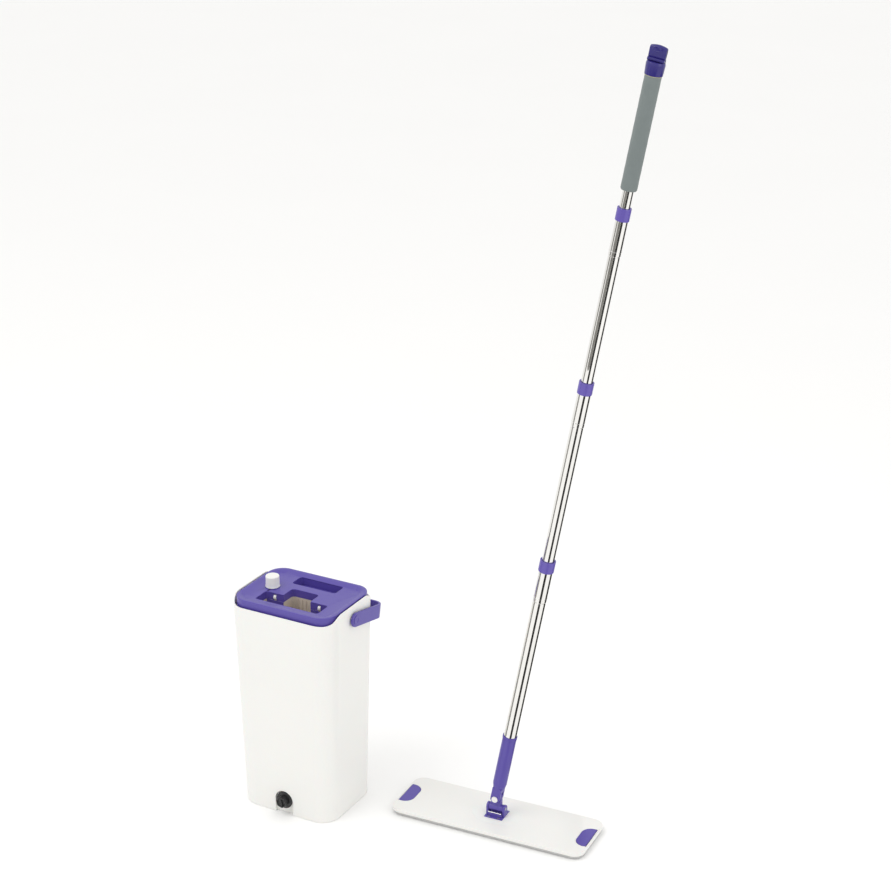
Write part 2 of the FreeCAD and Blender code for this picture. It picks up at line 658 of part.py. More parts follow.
def fill_funnel():
    """Strainer pocket below the lid's filling mouth, with a row of holes in its floor."""
    body = new_body("fill_funnel")
    wall = S.lid_wall
    outside = new_sketch(body, "funnel_outside", "XY", fill_bottom - wall)
    rounded_rectangle(outside, fill_left - wall, fill_right + wall, S.fill_front - wall,
                      fill_back + wall, wall * 3)
    pad(body, outside, lid_under - fill_bottom + wall)
    inside = new_sketch(body, "funnel_inside", "XY", lid_under)
    rounded_rectangle(inside, fill_left, fill_right, S.fill_front, fill_back, wall * 2.5)
    pocket(body, inside, lid_under - fill_bottom)
    holes = new_sketch(body, "funnel_holes", "XY", fill_bottom)
    for step in range(-2, 3):
        circle(holes, S.fill_offset + S.fill_width / 6 * step, S.fill_front + S.fill_gap / 2,
               S.fill_hole_radius)
    pocket(body, holes, wall * 2)
    return body


post_x = slot_half + S.post_radius + S.lid_wall + 1
post_places = []
for post_side in (-1, 1):
    post_places.append((post_x * post_side, S.slot_front + S.post_radius))
    post_places.append((post_x * post_side, slot_back - S.post_radius / 2))


def wash_chute():
    """White sleeve below the slot, with ribs down its back wall and a screwed flange."""
    body = new_body("wash_chute")
    wall = S.chute_wall
    deep = chute_top - S.chute_bottom
    flange = new_sketch(body, "chute_flange", "XY", chute_flange_bottom)
    reach = post_x + S.post_radius
    rounded_rectangle(flange, -reach, reach, S.slot_front - wall * 2, slot_back + wall * 2,
                      S.post_radius)
    pad(body, flange, S.chute_flange)
    wings = new_sketch(body, "chute_wings", "XY", S.chute_bottom)
    rounded_rectangle(wings, -slot_half - wall, slot_half + wall, S.slot_front - wall, slot_back + wall,
                      wall * 2)
    pad(body, wings, deep)
    bump = new_sketch(body, "chute_bump", "XY", S.chute_bottom)
    rounded_rectangle(bump, -bump_half - wall, bump_half + wall, S.slot_front - wall, S.bump_back + wall,
                      wall * 4)
    pad(body, bump, deep)
    wing_bore = new_sketch(body, "chute_wing_bore", "XY", chute_top)
    rounded_rectangle(wing_bore, -slot_half, slot_half, S.slot_front, slot_back, wall)
    pocket(body, wing_bore, deep)
    bump_bore = new_sketch(body, "chute_bump_bore", "XY", chute_top)
    rounded_rectangle(bump_bore, -bump_half, bump_half, S.slot_front, S.bump_back, wall * 3)
    pocket(body, bump_bore, deep)
    ribs = new_sketch(body, "chute_ribs", "XY", S.chute_bottom)
    for step in (-2, -1, 0, 1, 2):
        middle = S.rib_pitch * step
        rectangle(ribs, middle - S.rib_size / 2, middle + S.rib_size / 2,
                  S.bump_back - S.rib_size, S.bump_back + wall / 2)
    pad(body, ribs, deep - S.chute_flange)
    holes = new_sketch(body, "chute_screw_holes", "XY", chute_top)
    for x, y in post_places:
        circle(holes, x, y, S.screw_radius + S.seat_gap)
    pocket(body, holes, S.chute_flange * 2)
    return body


def tank_outline(sketch, inset):
    """A U around the slot's bump, open to the front."""
    side = tank_half_width - inset
    channel = bump_half + S.chute_wall + S.tank_gap + inset
    front = slot_back + S.chute_wall + S.tank_front_gap + inset
    back = ledge_half_depth - S.tank_back_play - inset
    inner_back = S.bump_back + S.chute_wall + S.tank_gap + inset
    corner = S.tank_corner - inset * 0.6
    polygon(sketch, [(-side, front), (-channel, front), (-channel, inner_back), (channel, inner_back),
                     (channel, front), (side, front), (side, back - corner), (side - corner, back),
                     (corner - side, back), (-side, back - corner)])


def clean_water_tank():
    body = new_body("clean_water_tank")
    outside = new_sketch(body, "tank_outside", "XY", S.tank_bottom)
    tank_outline(outside, 0)
    pad(body, outside, tank_top - S.tank_bottom)
    inside = new_sketch(body, "tank_inside", "XY", tank_top)
    tank_outline(inside, S.tank_wall)
    pocket(body, inside, tank_top - tank_floor_top)
    holes = new_sketch(body, "tank_holes", "XY", tank_floor_top)
    circle(holes, S.valve_x, valve_y, S.rod_radius + S.running_gap)
    circle(holes, S.valve_x, valve_y + S.port_reach, S.port_radius / 2)
    pocket(body, holes, S.tank_wall * 2)
    return body


def valve_pieces():
    """Knob, washer, long rod and the port disc that it turns on the tank's floor."""
    knob = new_body("valve_knob")
    profile = new_sketch(knob, "knob_profile", "XZ")
    low = lid_floor + S.washer_thick
    high = low + S.knob_height
    foot = S.knob_radius + S.knob_flare
    edge = S.knob_edge
    polygon(profile, [(S.rod_radius, low), (foot, low),
                      (S.knob_radius, low + S.knob_height / 5), (S.knob_radius, high - edge),
                      (S.knob_radius - edge, high), (0, high), (0, low + S.knob_height / 2),
                      (S.rod_radius, low + S.knob_height / 2)])
    revolve(knob, profile)
    washer = ring("knob_washer", S.rod_radius + S.seat_gap, S.knob_radius - 2,
                  lid_floor, lid_floor + S.washer_thick)
    rod_bottom = S.tank_bottom
    rod_top = low + S.knob_height / 2
    stem = new_body("valve_rod")
    stem_sketch = new_sketch(stem, "rod_section", "XY", rod_bottom)
    circle(stem_sketch, 0, 0, S.rod_radius)
    pad(stem, stem_sketch, rod_top - rod_bottom)
    disc = new_body("valve_disc")
    disc_sketch = new_sketch(disc, "disc_section", "XY", tank_floor_top + S.seat_gap)
    circle(disc_sketch, 0, 0, S.disc_radius)
    circle(disc_sketch, 0, 0, S.rod_radius)
    circle(disc_sketch, S.port_reach, 0, S.port_radius / 2)
    pad(disc, disc_sketch, S.disc_thick)
    for piece in (knob, washer, stem, disc):
        place(piece, S.valve_x, valve_y)
    return [knob, washer, stem, disc]


def guide_rollers():
    pieces = []
    for side, word in ((-1, "left"), (1, "right")):
        middle = roller_x * side
        roller = new_body("guide_roller_" + word)
        section = new_sketch(roller, word + "_roller_section", "YZ", -S.roller_length / 2)
        circle(section, 0, 0, S.roller_radius)
        circle(section, 0, 0, S.roller_axle_radius + S.running_gap)
        pad(roller, section, S.roller_length)
        place(roller, middle, roller_y, roller_z)
        axle = rod("roller_axle_" + word, "X", S.roller_axle_radius, -S.roller_length,
                   S.roller_length * 2, middle, roller_y, roller_z)
        pieces += [roller, axle]
    return pieces


def scraper():
    """A rubber lip in a holder on the chute's front wall: it squeezes the mop pad."""
    top = chute_top - S.scraper_drop
    holder_reach = S.scraper_reach / 2
    half = slot_half - S.slot_side_play
    holder = box("scraper_holder", -half, half, S.slot_front, S.slot_front + holder_reach,
                 top - S.scraper_height, top)
    blade = box("scraper_blade", -half, half, S.slot_front + holder_reach,
                S.slot_front + S.scraper_reach, top - S.scraper_height, top - S.scraper_height / 2)
    return [holder, blade]


def insert_screws():
    pieces = []
    for number, (x, y) in enumerate(post_places):
        shank = rod(f"screw_shank_{number}", "Z", S.screw_radius, 0, S.chute_flange + S.lining_depth / 3,
                    x, y, chute_flange_bottom)
        head = rod(f"screw_head_{number}", "Z", S.screw_head_radius, -S.screw_head, S.screw_head,
                   x, y, chute_flange_bottom)
        pieces.append(fuse(f"screw_{number}", [shank, head]))
    group = doc.addObject("Part::Compound", "insert_screws")
    group.Links = pieces
    return group


# ------------------------------------------------------------------ mop head
plate_half_length = S.plate_length / 2
plate_half_width = S.plate_width / 2
plate_bottom = S.pad_thick + S.pad_gap
clip_outer = plate_half_length - S.clip_inset
clip_inner = clip_outer - S.clip_depth
clip_pin_x = clip_outer - S.clip_thick / 2
clip_bottom = S.plate_top - S.clip_thick
clip_pin_z = S.plate_top - S.clip_thick / 2
rib_bottom = plate_bottom + S.strip_thick


def on_head(thing):
    place(thing, S.head_x, S.head_y, 0, S.head_yaw)
    return thing


def clip_outline(sketch, side, grow):
    """The D shape of an end clip: a straight outer side and a rounded inner end."""
    half = S.clip_length / 2 + grow
    outer = (clip_outer + grow) * side
    inner = (clip_inner - grow) * side
    radius = S.clip_depth * 0.8
    left, right = (inner, outer) if side > 0 else (outer, inner)
    spread = S.clip_depth * 2 * side
    if side > 0:
        rounded_rectangle(sketch, left, right + spread, -half, half, radius)
    else:
        rounded_rectangle(sketch, left + spread, right, -half, half, radius)


def clip_trim(sketch, side, grow):
    """The part of the long D outline that lies beyond its straight side.

    An opening is twice as loose there, because that edge swings down as the clip lifts.
    """
    half = S.clip_length
    outer = (clip_outer + grow * 2) * side
    beyond = (clip_outer + S.clip_depth * 4) * side
    left, right = (outer, beyond) if side > 0 else (beyond, outer)
    rectangle(sketch, left, right, -half, half)


def clip_block(name, side, grow, bottom, top):
    body = new_body(name)
    outline = new_sketch(body, name + "_outline", "XY", bottom)
    clip_outline(outline, side, grow)
    pad(body, outline, top - bottom)
    trim = new_sketch(body, name + "_trim", "XY", bottom)
    clip_trim(trim, side, grow)
    pocket(body, trim, (top - bottom) * 2, both_sides=True)
    return body


def mop_plate():
    """White plate: a thin skin with a rim and ribs below, open where the end clips sit."""
    body = new_body("plate_body")
    outline = new_sketch(body, "plate_outline", "XY", plate_bottom)
    rounded_rectangle(outline, -plate_half_length, plate_half_length,
                      -plate_half_width, plate_half_width, S.plate_corner)
    pad(body, outline, S.plate_top - plate_bottom)
    under = new_sketch(body, "plate_hollow", "XY", plate_bottom)
    rim = S.plate_rim
    rounded_rectangle(under, -plate_half_length + rim, plate_half_length - rim,
                      -plate_half_width + rim, plate_half_width - rim, S.plate_corner - rim)
    pocket(body, under, S.plate_top - S.plate_skin - plate_bottom, backwards=True)
    ribs = new_sketch(body, "plate_ribs", "XY", rib_bottom)
    for step in (-2, -1, 0, 1, 2):
        middle = S.plate_rib_pitch * step
        rectangle(ribs, middle - S.plate_rib / 2, middle + S.plate_rib / 2,
                  -plate_half_width + rim / 2, plate_half_width - rim / 2)
    pad(body, ribs, S.plate_top - S.plate_skin / 2 - rib_bottom)
    holes = new_sketch(body, "bracket_holes", "XY", S.plate_top)
    for x, y in bracket_screw_places:
        circle(holes, x, y, S.screw_radius + S.seat_gap)
    pocket(body, holes, S.plate_skin * 2)
    openings = []
    for side, word in ((-1, "left"), (1, "right")):
        openings.append(clip_block(f"clip_opening_{word}", side, S.loose_gap, plate_bottom,
                                   S.plate_top + S.plate_skin))
        openings.append(rod(f"clip_bore_{word}", "Y", S.clip_pin_radius, -clip_pin_reach / 2,
                            clip_pin_reach, clip_pin_x * side, 0, clip_pin_z))
    ready = cut("mop_plate", body, fuse("plate_openings", openings))
    return on_head(ready)


clip_pin_reach = S.clip_length + S.clip_pin_end * 2
bracket_screw_x = S.bracket_length / 2 - S.screw_inset_x
bracket_screw_y = S.bracket_width / 2 - S.screw_inset_y
bracket_screw_places = []
for screw_side in (-1, 1):
    for screw_end in (-1, 1):
        bracket_screw_places.append((bracket_screw_x * screw_side, bracket_screw_y * screw_end))


def pad_clips():
    pieces = []
    for side, word in ((-1, "left"), (1, "right")):
        block = clip_block(f"clip_block_{word}", side, 0, clip_bottom, S.plate_top)
        bore = rod(f"clip_hole_{word}", "Y", S.clip_pin_radius + S.running_gap, -S.clip_length,
                   S.clip_length * 2, clip_pin_x * side, 0, clip_pin_z)
        pieces.append(on_head(cut(f"pad_clip_{word}", block, bore)))
        pin = new_body(f"clip_pin_{word}")
        section = new_sketch(pin, f"clip_pin_section_{word}", "XZ")
        circle(section, clip_pin_x * side, clip_pin_z, S.clip_pin_radius)
        pad(pin, section, clip_pin_reach, both_sides=True)
        pieces.append(on_head(pin))
    return pieces


def pad_strips():
    """Two hook-and-loop strips below the ribs: the pad is pressed on to them."""
    pieces = []
    half = plate_half_length - S.clip_inset - S.clip_depth - S.clip_inset
    for side, word in ((-1, "front"), (1, "rear")):
        middle = (plate_half_width / 2 + S.plate_rim) * side
        pieces.append(box(f"strip_{word}", -half, half, middle - S.strip_width / 2,
                          middle + S.strip_width / 2, plate_bottom, rib_bottom))
    return on_head(fuse("pad_strips", pieces))


def mop_pad():
    body = new_body("mop_pad")
    outline = new_sketch(body, "pad_outline")
    half_length = plate_half_length - S.pad_inset
    half_width = plate_half_width - S.pad_inset
    rounded_rectangle(outline, -half_length, half_length, -half_width, half_width,
                      S.plate_corner - S.pad_inset)
    pad(body, outline, S.pad_thick)
    return on_head(body)


def head_bracket():
    """Screwed to the plate, with an ear at each end for the lower axle."""
    half_length = S.bracket_length / 2
    half_width = S.bracket_width / 2
    base_top = S.plate_top + S.bracket_base
    pieces = [box("bracket_foot", -half_length, half_length, -half_width, half_width,
                  S.plate_top, base_top)]
    for side, word in ((-1, "left"), (1, "right")):
        outer = half_length * side
        inner = (half_length - S.ear_thick) * side
        left, right = (inner, outer) if side > 0 else (outer, inner)
        pieces.append(box(f"ear_foot_{word}", left, right, -S.ear_radius, S.ear_radius,
                          base_top - S.seat_gap, S.axle_level))
        pieces.append(rod(f"ear_round_{word}", "X", S.ear_radius, 0, S.ear_thick, left, 0, S.axle_level))
    wall_half = yoke_half + S.side_gap
    wall_top = S.axle_level - S.yoke_radius - S.detent_radius
    for side, word in ((-1, "front"), (1, "rear")):
        middle = S.detent_y * side
        pieces.append(box(f"bracket_wall_{word}", -wall_half, wall_half, middle - S.bracket_wall / 2,
                          middle + S.bracket_wall / 2, base_top - S.seat_gap, wall_top))
    solid = fuse("bracket_solid", pieces)
    tools = [rod("bracket_axle_hole", "X", S.axle_radius, -S.bracket_length, S.bracket_length * 2,
                 0, 0, S.axle_level)]
    for number, (x, y) in enumerate(bracket_screw_places):
        tools.append(rod(f"bracket_screw_hole_{number}", "Z", S.screw_radius + S.seat_gap, 0,
                         S.bracket_base * 3, x, y, S.plate_top - S.bracket_base))
    return on_head(cut("head_bracket", solid, fuse("bracket_holes_all", tools)))


yoke_half = S.bracket_length / 2 - S.ear_thick - S.side_gap


def bracket_screws():
    pieces = []
    base_top = S.plate_top + S.bracket_base
    for number, (x, y) in enumerate(bracket_screw_places):
        reach = S.bracket_base + S.plate_skin * 2
        shank = rod(f"plate_screw_shank_{number}", "Z", S.screw_radius, -reach, reach, x, y, base_top)
        head = rod(f"plate_screw_head_{number}", "Z", S.screw_radius * 1.7, 0, S.screw_head * 0.4,
                   x, y, base_top)
        pieces.append(fuse(f"plate_screw_{number}", [shank, head]))
    group = doc.addObject("Part::Compound", "bracket_screws")
    group.Links = pieces
    return on_head(group)


def lower_axle():
    body = new_body("lower_axle")
    section = new_sketch(body, "axle_section", "YZ", -S.bracket_length / 2)
    circle(section, 0, S.axle_level, S.axle_radius)
    pad(body, section, S.bracket_length)
    return on_head(body)


def detent_spring():
    body = new_body("detent_spring")
    half = yoke_half - S.side_gap
    section = new_sketch(body, "detent_section", "YZ", -half)
    circle(section, -S.detent_y, S.axle_level - S.yoke_radius, S.detent_radius)
    pad(body, section, half * 2)
    return on_head(body)


def yoke_block():
    """A barrel on the lower axle with an upright tongue for the pole's pin."""
    barrel = rod("yoke_barrel", "X", S.yoke_radius, -yoke_half, yoke_half * 2, 0, 0, S.axle_level)
    tongue = box("yoke_tongue", -S.tongue_half_width, S.tongue_half_width, -S.tongue_thick / 2,
                 S.tongue_thick / 2, S.axle_level, S.pin_level)
    eye = rod("yoke_eye", "Y", S.tongue_half_width, -S.tongue_thick / 2, S.tongue_thick, 0, 0, S.pin_level)
    bores = [rod("yoke_axle_bore", "X", S.axle_radius + S.running_gap, -S.bracket_length,
                 S.bracket_length * 2, 0, 0, S.axle_level),
             rod("yoke_pin_bore", "Y", S.pin_radius + S.running_gap, -S.bracket_width,
                 S.bracket_width * 2, 0, 0, S.pin_level)]
    solid = fuse("yoke_solid", [barrel, tongue, eye])
    return on_head(cut("yoke_block", solid, fuse("yoke_bores", bores)))


# ------------------------------------------------------------------ pole
def on_pole(thing):
    place(thing, S.head_x, S.head_y, S.pin_level, S.head_yaw, S.pole_lean)
    return thing


cheek_inner = S.tongue_thick / 2 + S.side_gap
cheek_outer = cheek_inner + S.cheek_thick


def handle_socket():
    """A fork over the yoke's tongue that runs up into a socket for the lowest tube."""
    cheeks = []
    for side, word in ((-1, "front"), (1, "rear")):
        front = cheek_inner if side > 0 else -cheek_outer
        cheeks.append(rod(f"cheek_eye_{word}", "Y", S.cheek_radius, 0, S.cheek_thick, 0, front, 0))
        cheeks.append(box(f"cheek_arm_{word}", -S.cheek_radius, S.cheek_radius,
                          front, front + S.cheek_thick, 0, S.fork_depth + S.cheek_radius))
    body = new_body("socket_body")
    profile = new_sketch(body, "socket_profile", "XZ")
    ledge = socket_radius + S.socket_ledge
    ledge_bottom = S.socket_top - S.socket_ledge_height
    inner = S.tube_one_radius
    polygon(profile, [(0, S.fork_depth), (S.cheek_radius, S.fork_depth),
                      (socket_radius, S.fork_depth + S.cheek_radius * 2),
                      (socket_radius, ledge_bottom), (ledge, ledge_bottom),
                      (ledge, S.socket_top), (inner, S.socket_top), (inner, S.socket_bore_bottom),
                      (0, S.socket_bore_bottom)])
    revolve(body, profile)
    solid = fuse("socket_solid", cheeks + [body])
    bore = rod("socket_pin_hole", "Y", S.pin_radius, -socket_radius * 2, socket_radius * 4)
    return on_pole(cut("handle_socket", solid, bore))


def pivot_pin():
    """The white pin through the fork, with a flat round head at each end."""
    shank = rod("pin_shank", "Y", S.pin_radius, -cheek_outer, cheek_outer * 2)
    front = rod("pin_front_head", "Y", S.pin_head_radius, -S.pin_head, S.pin_head, 0, -cheek_outer)
    rear = rod("pin_rear_head", "Y", S.pin_head_radius, 0, S.pin_head, 0, cheek_outer)
    return on_pole(fuse("pivot_pin", [shank, front, rear]))


TUBES = ("one", "two", "three", "four")
tube_radius = [S.tube_one_radius - S.tube_step * step for step in range(4)]
tube_end = [S.tube_one_end, S.tube_two_end, S.tube_three_end, S.tube_four_end]
tube_start = [S.socket_bore_bottom + S.seat_gap] + [end - S.overlap for end in tube_end[:3]]


def pole_tube(number):
    """A thin steel tube, swelled at its mouth where the next tube slides in."""
    radius = tube_radius[number]
    bore = radius - S.tube_wall
    start, end = tube_start[number], tube_end[number]
    if number == 3:
        return on_pole(ring("tube_four", bore, radius, start, end))
    crimp = end - S.mouth_length
    swell = S.mouth_swell
    profile = [(bore, start), (radius, start), (radius, crimp), (radius + swell, crimp + 1),
               (radius + swell, end), (bore + swell, end), (bore + swell, crimp + 1), (bore, crimp)]
    return on_pole(turned("tube_" + TUBES[number], profile))


def tube_bush(number):
    """A plastic guide round the foot of a sliding tube."""
    outer = tube_radius[number - 1] - S.tube_wall - S.running_gap
    start = tube_start[number]
    return on_pole(ring("bush_" + TUBES[number], tube_radius[number], outer, start, start + S.bush_height))


def lock_pieces(number):
    """The twist collar at a tube's mouth and the split collet that it closes."""
    mouth = tube_radius[number] + S.mouth_swell
    sliding = tube_radius[number + 1]
    end = tube_end[number]
    collet_top = end + S.collet_height
    collet = ring("collet_" + TUBES[number], sliding + S.running_gap, mouth, end, collet_top)
    low = end - S.collar_height / 2
    high = end + S.collar_height / 2
    collar_bore = mouth + S.running_gap
    collar_outer = collar_bore + S.collar_wall
    roof = collet_top + S.side_gap
    profile = [(collar_bore, low), (collar_outer, low), (collar_outer, high), (sliding + S.loose_gap, high),
               (sliding + S.loose_gap, roof), (collar_bore, roof)]
    collar = turned("lock_collar_" + TUBES[number], profile)
    return [on_pole(collet), on_pole(collar)]


def grip_sleeve():
    inner = tube_radius[3]
    outer = S.grip_radius
    start, end = S.grip_start, S.grip_end
    profile = [(inner, start), (outer - S.grip_edge, start), (outer, start + S.grip_edge),
               (outer, end), (inner, end)]
    return on_pole(turned("grip_sleeve", profile))


def end_cap():
    """Purple ring that closes the grip, with the hook's bearing in its roof."""
    start = S.grip_end
    end = start + S.cap_height
    inner = tube_radius[3]
    roof = S.tube_four_end + S.seat_gap
    hole = S.swivel_radius + S.running_gap
    profile = [(inner, start), (S.cap_radius - 0.8, start), (S.cap_radius, end - 4),
               (S.cap_radius - 1, end), (hole, end), (hole, roof), (inner, roof)]
    return on_pole(turned("end_cap", profile))


def hanging_hook():
    """A flat hook bent over to the front, on a round swivel stub."""
    base = S.grip_end + S.cap_height + S.side_gap
    body = new_body("hook_body")
    side = new_sketch(body, "hook_side", "YZ", -S.hook_width / 2)
    reach, thick = S.hook_reach, S.hook_thick
    top = base + S.hook_height
    lip_bottom = top - S.hook_lip
    half = reach - thick
    shoulder = top - thick * 1.6
    polygon(side, [(-half, base), (reach, base), (reach, shoulder), (half, top), (-half, top),
                   (-reach, shoulder), (-reach, lip_bottom), (-half, lip_bottom),
                   (-half, top - thick * 2), (half, top - thick * 2),
                   (half, base + thick), (-half, base + thick)])
    pad(body, side, S.hook_width)
    stub = rod("hook_stub", "Z", S.swivel_radius, -S.swivel_length, S.swivel_length + thick / 2, 0, 0, base)
    return on_pole(fuse("hanging_hook", [body, stub]))


# ------------------------------------------------------------------ the whole set
node(bucket_shell())
node(bucket_handle())
node(drain_gasket())
node(drain_cap())
node(lid_cover())
node(slot_lining())
node(fill_funnel())
node(wash_chute())
node(clean_water_tank())
NODES += valve_pieces()
NODES += guide_rollers()
NODES += scraper()
node(insert_screws())
node(mop_plate())
NODES += pad_clips()
node(pad_strips())
node(mop_pad())
node(head_bracket())
node(bracket_screws())
node(lower_axle())
node(detent_spring())
node(yoke_block())
node(handle_socket())
node(pivot_pin())
for tube_number in range(4):
    node(pole_tube(tube_number))
for tube_number in (1, 2, 3):
    node(tube_bush(tube_number))
for tube_number in range(3):
    NODES += lock_pieces(tube_number)
node(grip_sleeve())
node(end_cap())
node(hanging_hook())

doc.recompute()
for thing in doc.Objects:
    if "Invalid" in thing.State or "Error" in thing.State:
        raise RuntimeError(f"{thing.Label}: {thing.State}")
os.makedirs("parts", exist_ok=True)
for piece in NODES:
    shape = piece.Shape
    if shape.isNull() or not shape.isValid():
        raise RuntimeError(f"{piece.Label} has no valid shape")
    shape.exportStep(f"parts/{piece.Label}.step")
print(len(NODES), "nodes written")
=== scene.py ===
"""A flat squeeze mop beside its tall two-part bucket, on a plain pale floor.

Each section below makes one piece or one group of like pieces, in the order in which
the set is put together: bucket, wringer insert, mop head, then the pole up to its hook.
"""

import json
import math

import bpy
from mathutils import Matrix, Vector


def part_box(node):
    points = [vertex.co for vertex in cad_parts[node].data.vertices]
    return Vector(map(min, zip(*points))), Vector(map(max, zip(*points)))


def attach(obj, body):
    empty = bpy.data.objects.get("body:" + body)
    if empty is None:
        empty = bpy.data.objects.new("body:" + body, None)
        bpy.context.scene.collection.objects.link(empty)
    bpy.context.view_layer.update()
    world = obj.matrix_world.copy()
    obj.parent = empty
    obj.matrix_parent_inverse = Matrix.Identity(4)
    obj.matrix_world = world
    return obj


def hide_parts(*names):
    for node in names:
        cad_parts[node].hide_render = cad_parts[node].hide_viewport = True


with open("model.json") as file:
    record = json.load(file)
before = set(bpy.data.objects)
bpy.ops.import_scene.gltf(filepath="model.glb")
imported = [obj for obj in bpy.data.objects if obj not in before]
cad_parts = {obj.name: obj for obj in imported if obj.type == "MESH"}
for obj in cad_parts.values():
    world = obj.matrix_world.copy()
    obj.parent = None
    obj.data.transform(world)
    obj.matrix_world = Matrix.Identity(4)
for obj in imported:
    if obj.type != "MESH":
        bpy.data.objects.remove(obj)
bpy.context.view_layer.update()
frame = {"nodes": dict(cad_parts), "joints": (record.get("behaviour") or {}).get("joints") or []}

# ---------------------------------------------------------------- studio
# A plain pale floor under an even, bright sky of white cloth, with one soft lamp above
# and to the left, one low at the right, and the camera standing to the front right.
CAMERA_SPOT = (1.67286, -2.54057, 1.83979)
CAMERA_DOWN = 21.24
CAMERA_TURN = 28.76
CAMERA_LENS = 79.6
SKY_STRENGTH = 1.0
LAMP_AIM = (0.2, 0.0, 0.3)
mm = 0.001
FLOOR_WIDTH = 80
FLOOR_DROP = 0.2 * mm

bpy.ops.object.select_all(action="DESELECT")
bpy.ops.mesh.primitive_plane_add(size=FLOOR_WIDTH, location=(0, 0, -FLOOR_DROP))
floor = bpy.context.object
floor.name = "floor"

camera_data = bpy.data.cameras.new("camera")
camera_data.lens = CAMERA_LENS
camera_data.sensor_width = 36
camera_data.clip_end = 200
camera = bpy.data.objects.new("camera", camera_data)
camera.location = CAMERA_SPOT
camera.rotation_euler = (math.radians(90 - CAMERA_DOWN), 0, math.radians(CAMERA_TURN))
bpy.context.scene.collection.objects.link(camera)
bpy.context.scene.camera = camera

world = bpy.data.worlds.new("white_cloth")
world.use_nodes = True
world.node_tree.nodes["Background"].inputs["Color"].default_value = (1.0, 0.995, 0.985, 1)
world.node_tree.nodes["Background"].inputs["Strength"].default_value = SKY_STRENGTH
bpy.context.scene.world = world
bpy.context.scene.view_settings.view_transform = "Standard"


def soft_lamp(name, spot, aim, width, power):
    """A square cloth-fronted lamp that hangs at one spot and faces another."""
    data = bpy.data.lights.new(name, "AREA")
    data.size = width
    data.energy = power
    lamp = bpy.data.objects.new(name, data)
    lamp.location = spot
    lamp.rotation_euler = (Vector(aim) - Vector(spot)).to_track_quat("-Z", "Y").to_euler()
    bpy.context.scene.collection.objects.link(lamp)


soft_lamp("lamp_above", (-0.9, -1.6, 3.0), LAMP_AIM, 1.8, 22)
soft_lamp("lamp_right", (2.6, -0.4, 1.4), LAMP_AIM, 1.4, 7)


class Wire:
    """One value of a finish: sums written with it add the nodes that work them out."""

    def __init__(self, finish, socket):
        self.finish = finish
        self.socket = socket

    def sum(self, kind, first, second):
        return self.finish.node("Math", {"operation": kind}, {0: first, 1: second})

    def __add__(self, other):
        return self.sum("ADD", self, other)

    def __sub__(self, other):
        return self.sum("SUBTRACT", self, other)

    def __rsub__(self, other):
        return self.sum("SUBTRACT", other, self)

    def __mul__(self, other):
        return self.sum("MULTIPLY", self, other)

    __radd__ = __add__
    __rmul__ = __mul__


class Finish:
    """A material in the making: its shader, and the nodes that vary it over a surface."""

    def __init__(self, name, **sockets):
        self.material = bpy.data.materials.new(name)
        self.material.use_nodes = True
        self.tree = self.material.node_tree
        self.shader = self.tree.nodes["Principled BSDF"]
        for socket, value in sockets.items():
            self.set(socket.replace("_", " "), value)

    def node(self, kind, settings, sockets, output=0):
        made = self.tree.nodes.new("ShaderNode" + kind)
        for setting, value in settings.items():
            if setting == "stops":
                while len(made.color_ramp.elements) < len(value):
                    made.color_ramp.elements.new(0.5)
                for stop, (spot, grey) in zip(made.color_ramp.elements, value):
                    stop.position = spot
                    stop.color = (grey, grey, grey, 1)
            else:
                setattr(made, setting, value)
        for socket, value in sockets.items():
            self.feed(made.inputs[socket], value)
        return Wire(self, made.outputs[output])

    def feed(self, socket, value):
        if isinstance(value, Wire):
            self.tree.links.new(value.socket, socket)
        else:
            socket.default_value = value

    def set(self, socket, value):
        self.feed(self.shader.inputs[socket], value)

    def spot(self, stretch=(1, 1, 1), turn=(0, 0, 0)):
        where = self.node("TexCoord", {}, {}, 3)
        return self.node("Mapping", {}, {"Vector": where, "Rotation": turn, "Scale": stretch})

    def noise(self, scale, detail=2.0, stretch=(1, 1, 1), turn=(0, 0, 0)):
        sockets = {"Vector": self.spot(stretch, turn), "Scale": scale, "Detail": detail}
        return self.node("TexNoise", {}, sockets)

    def ramp(self, value, *stops):
        return self.node("ValToRGB", {"stops": stops}, {0: value})

    def mix(self, share, first, second):
        sockets = {0: share, 6: (*first, 1), 7: (*second, 1)}
        return self.node("Mix", {"data_type": "RGBA"}, sockets, 2)

    def relief(self, height, depth, strength=1.0):
        sockets = {"Height": height, "Distance": depth, "Strength": strength}
        self.set("Normal", self.node("Bump", {}, sockets))


pale = Finish("floor_pale", Specular_IOR_Level=0.2)
pale.set("Base Color", pale.mix(pale.noise(1.5), (0.94, 0.94, 0.935), (0.955, 0.955, 0.95)))
pale.set("Roughness", pale.noise(40) * 0.1 + 0.8)
floor.data.materials.append(pale.material)

# ---------------------------------------------------------------- bucket shell
# The tall bucket is moulded from white polypropylene with a satin grain. Its edges are
# soft, and its rim is low at the front and rises at the sides, where the bail hangs.
WHITE = (0.815, 0.810, 0.785)
WHITE_SHADE = (0.785, 0.780, 0.755)
RIM_ROUND = 0.7 * mm
WELD_GAP = 1e-6
FLAT_ANGLE = 0.6


def alone(piece):
    """Make one object the only one selected, and the active one."""
    bpy.ops.object.select_all(action="DESELECT")
    piece.select_set(True)
    bpy.context.view_layer.objects.active = piece
    return piece


def shape(piece, kind, **settings):
    """Put one modifier on a piece and apply it."""
    alone(piece)
    modifier = piece.modifiers.new(kind.lower(), kind)
    for setting, value in settings.items():
        setattr(modifier, setting, value)
    bpy.ops.object.modifier_apply(modifier=modifier.name)


def round_edges(piece, width, steps=3, angle=35):
    shape(piece, "BEVEL", width=width, segments=steps, limit_method="ANGLE",
          angle_limit=math.radians(angle), use_clamp_overlap=False, miter_outer="MITER_ARC")
    smooth(piece)


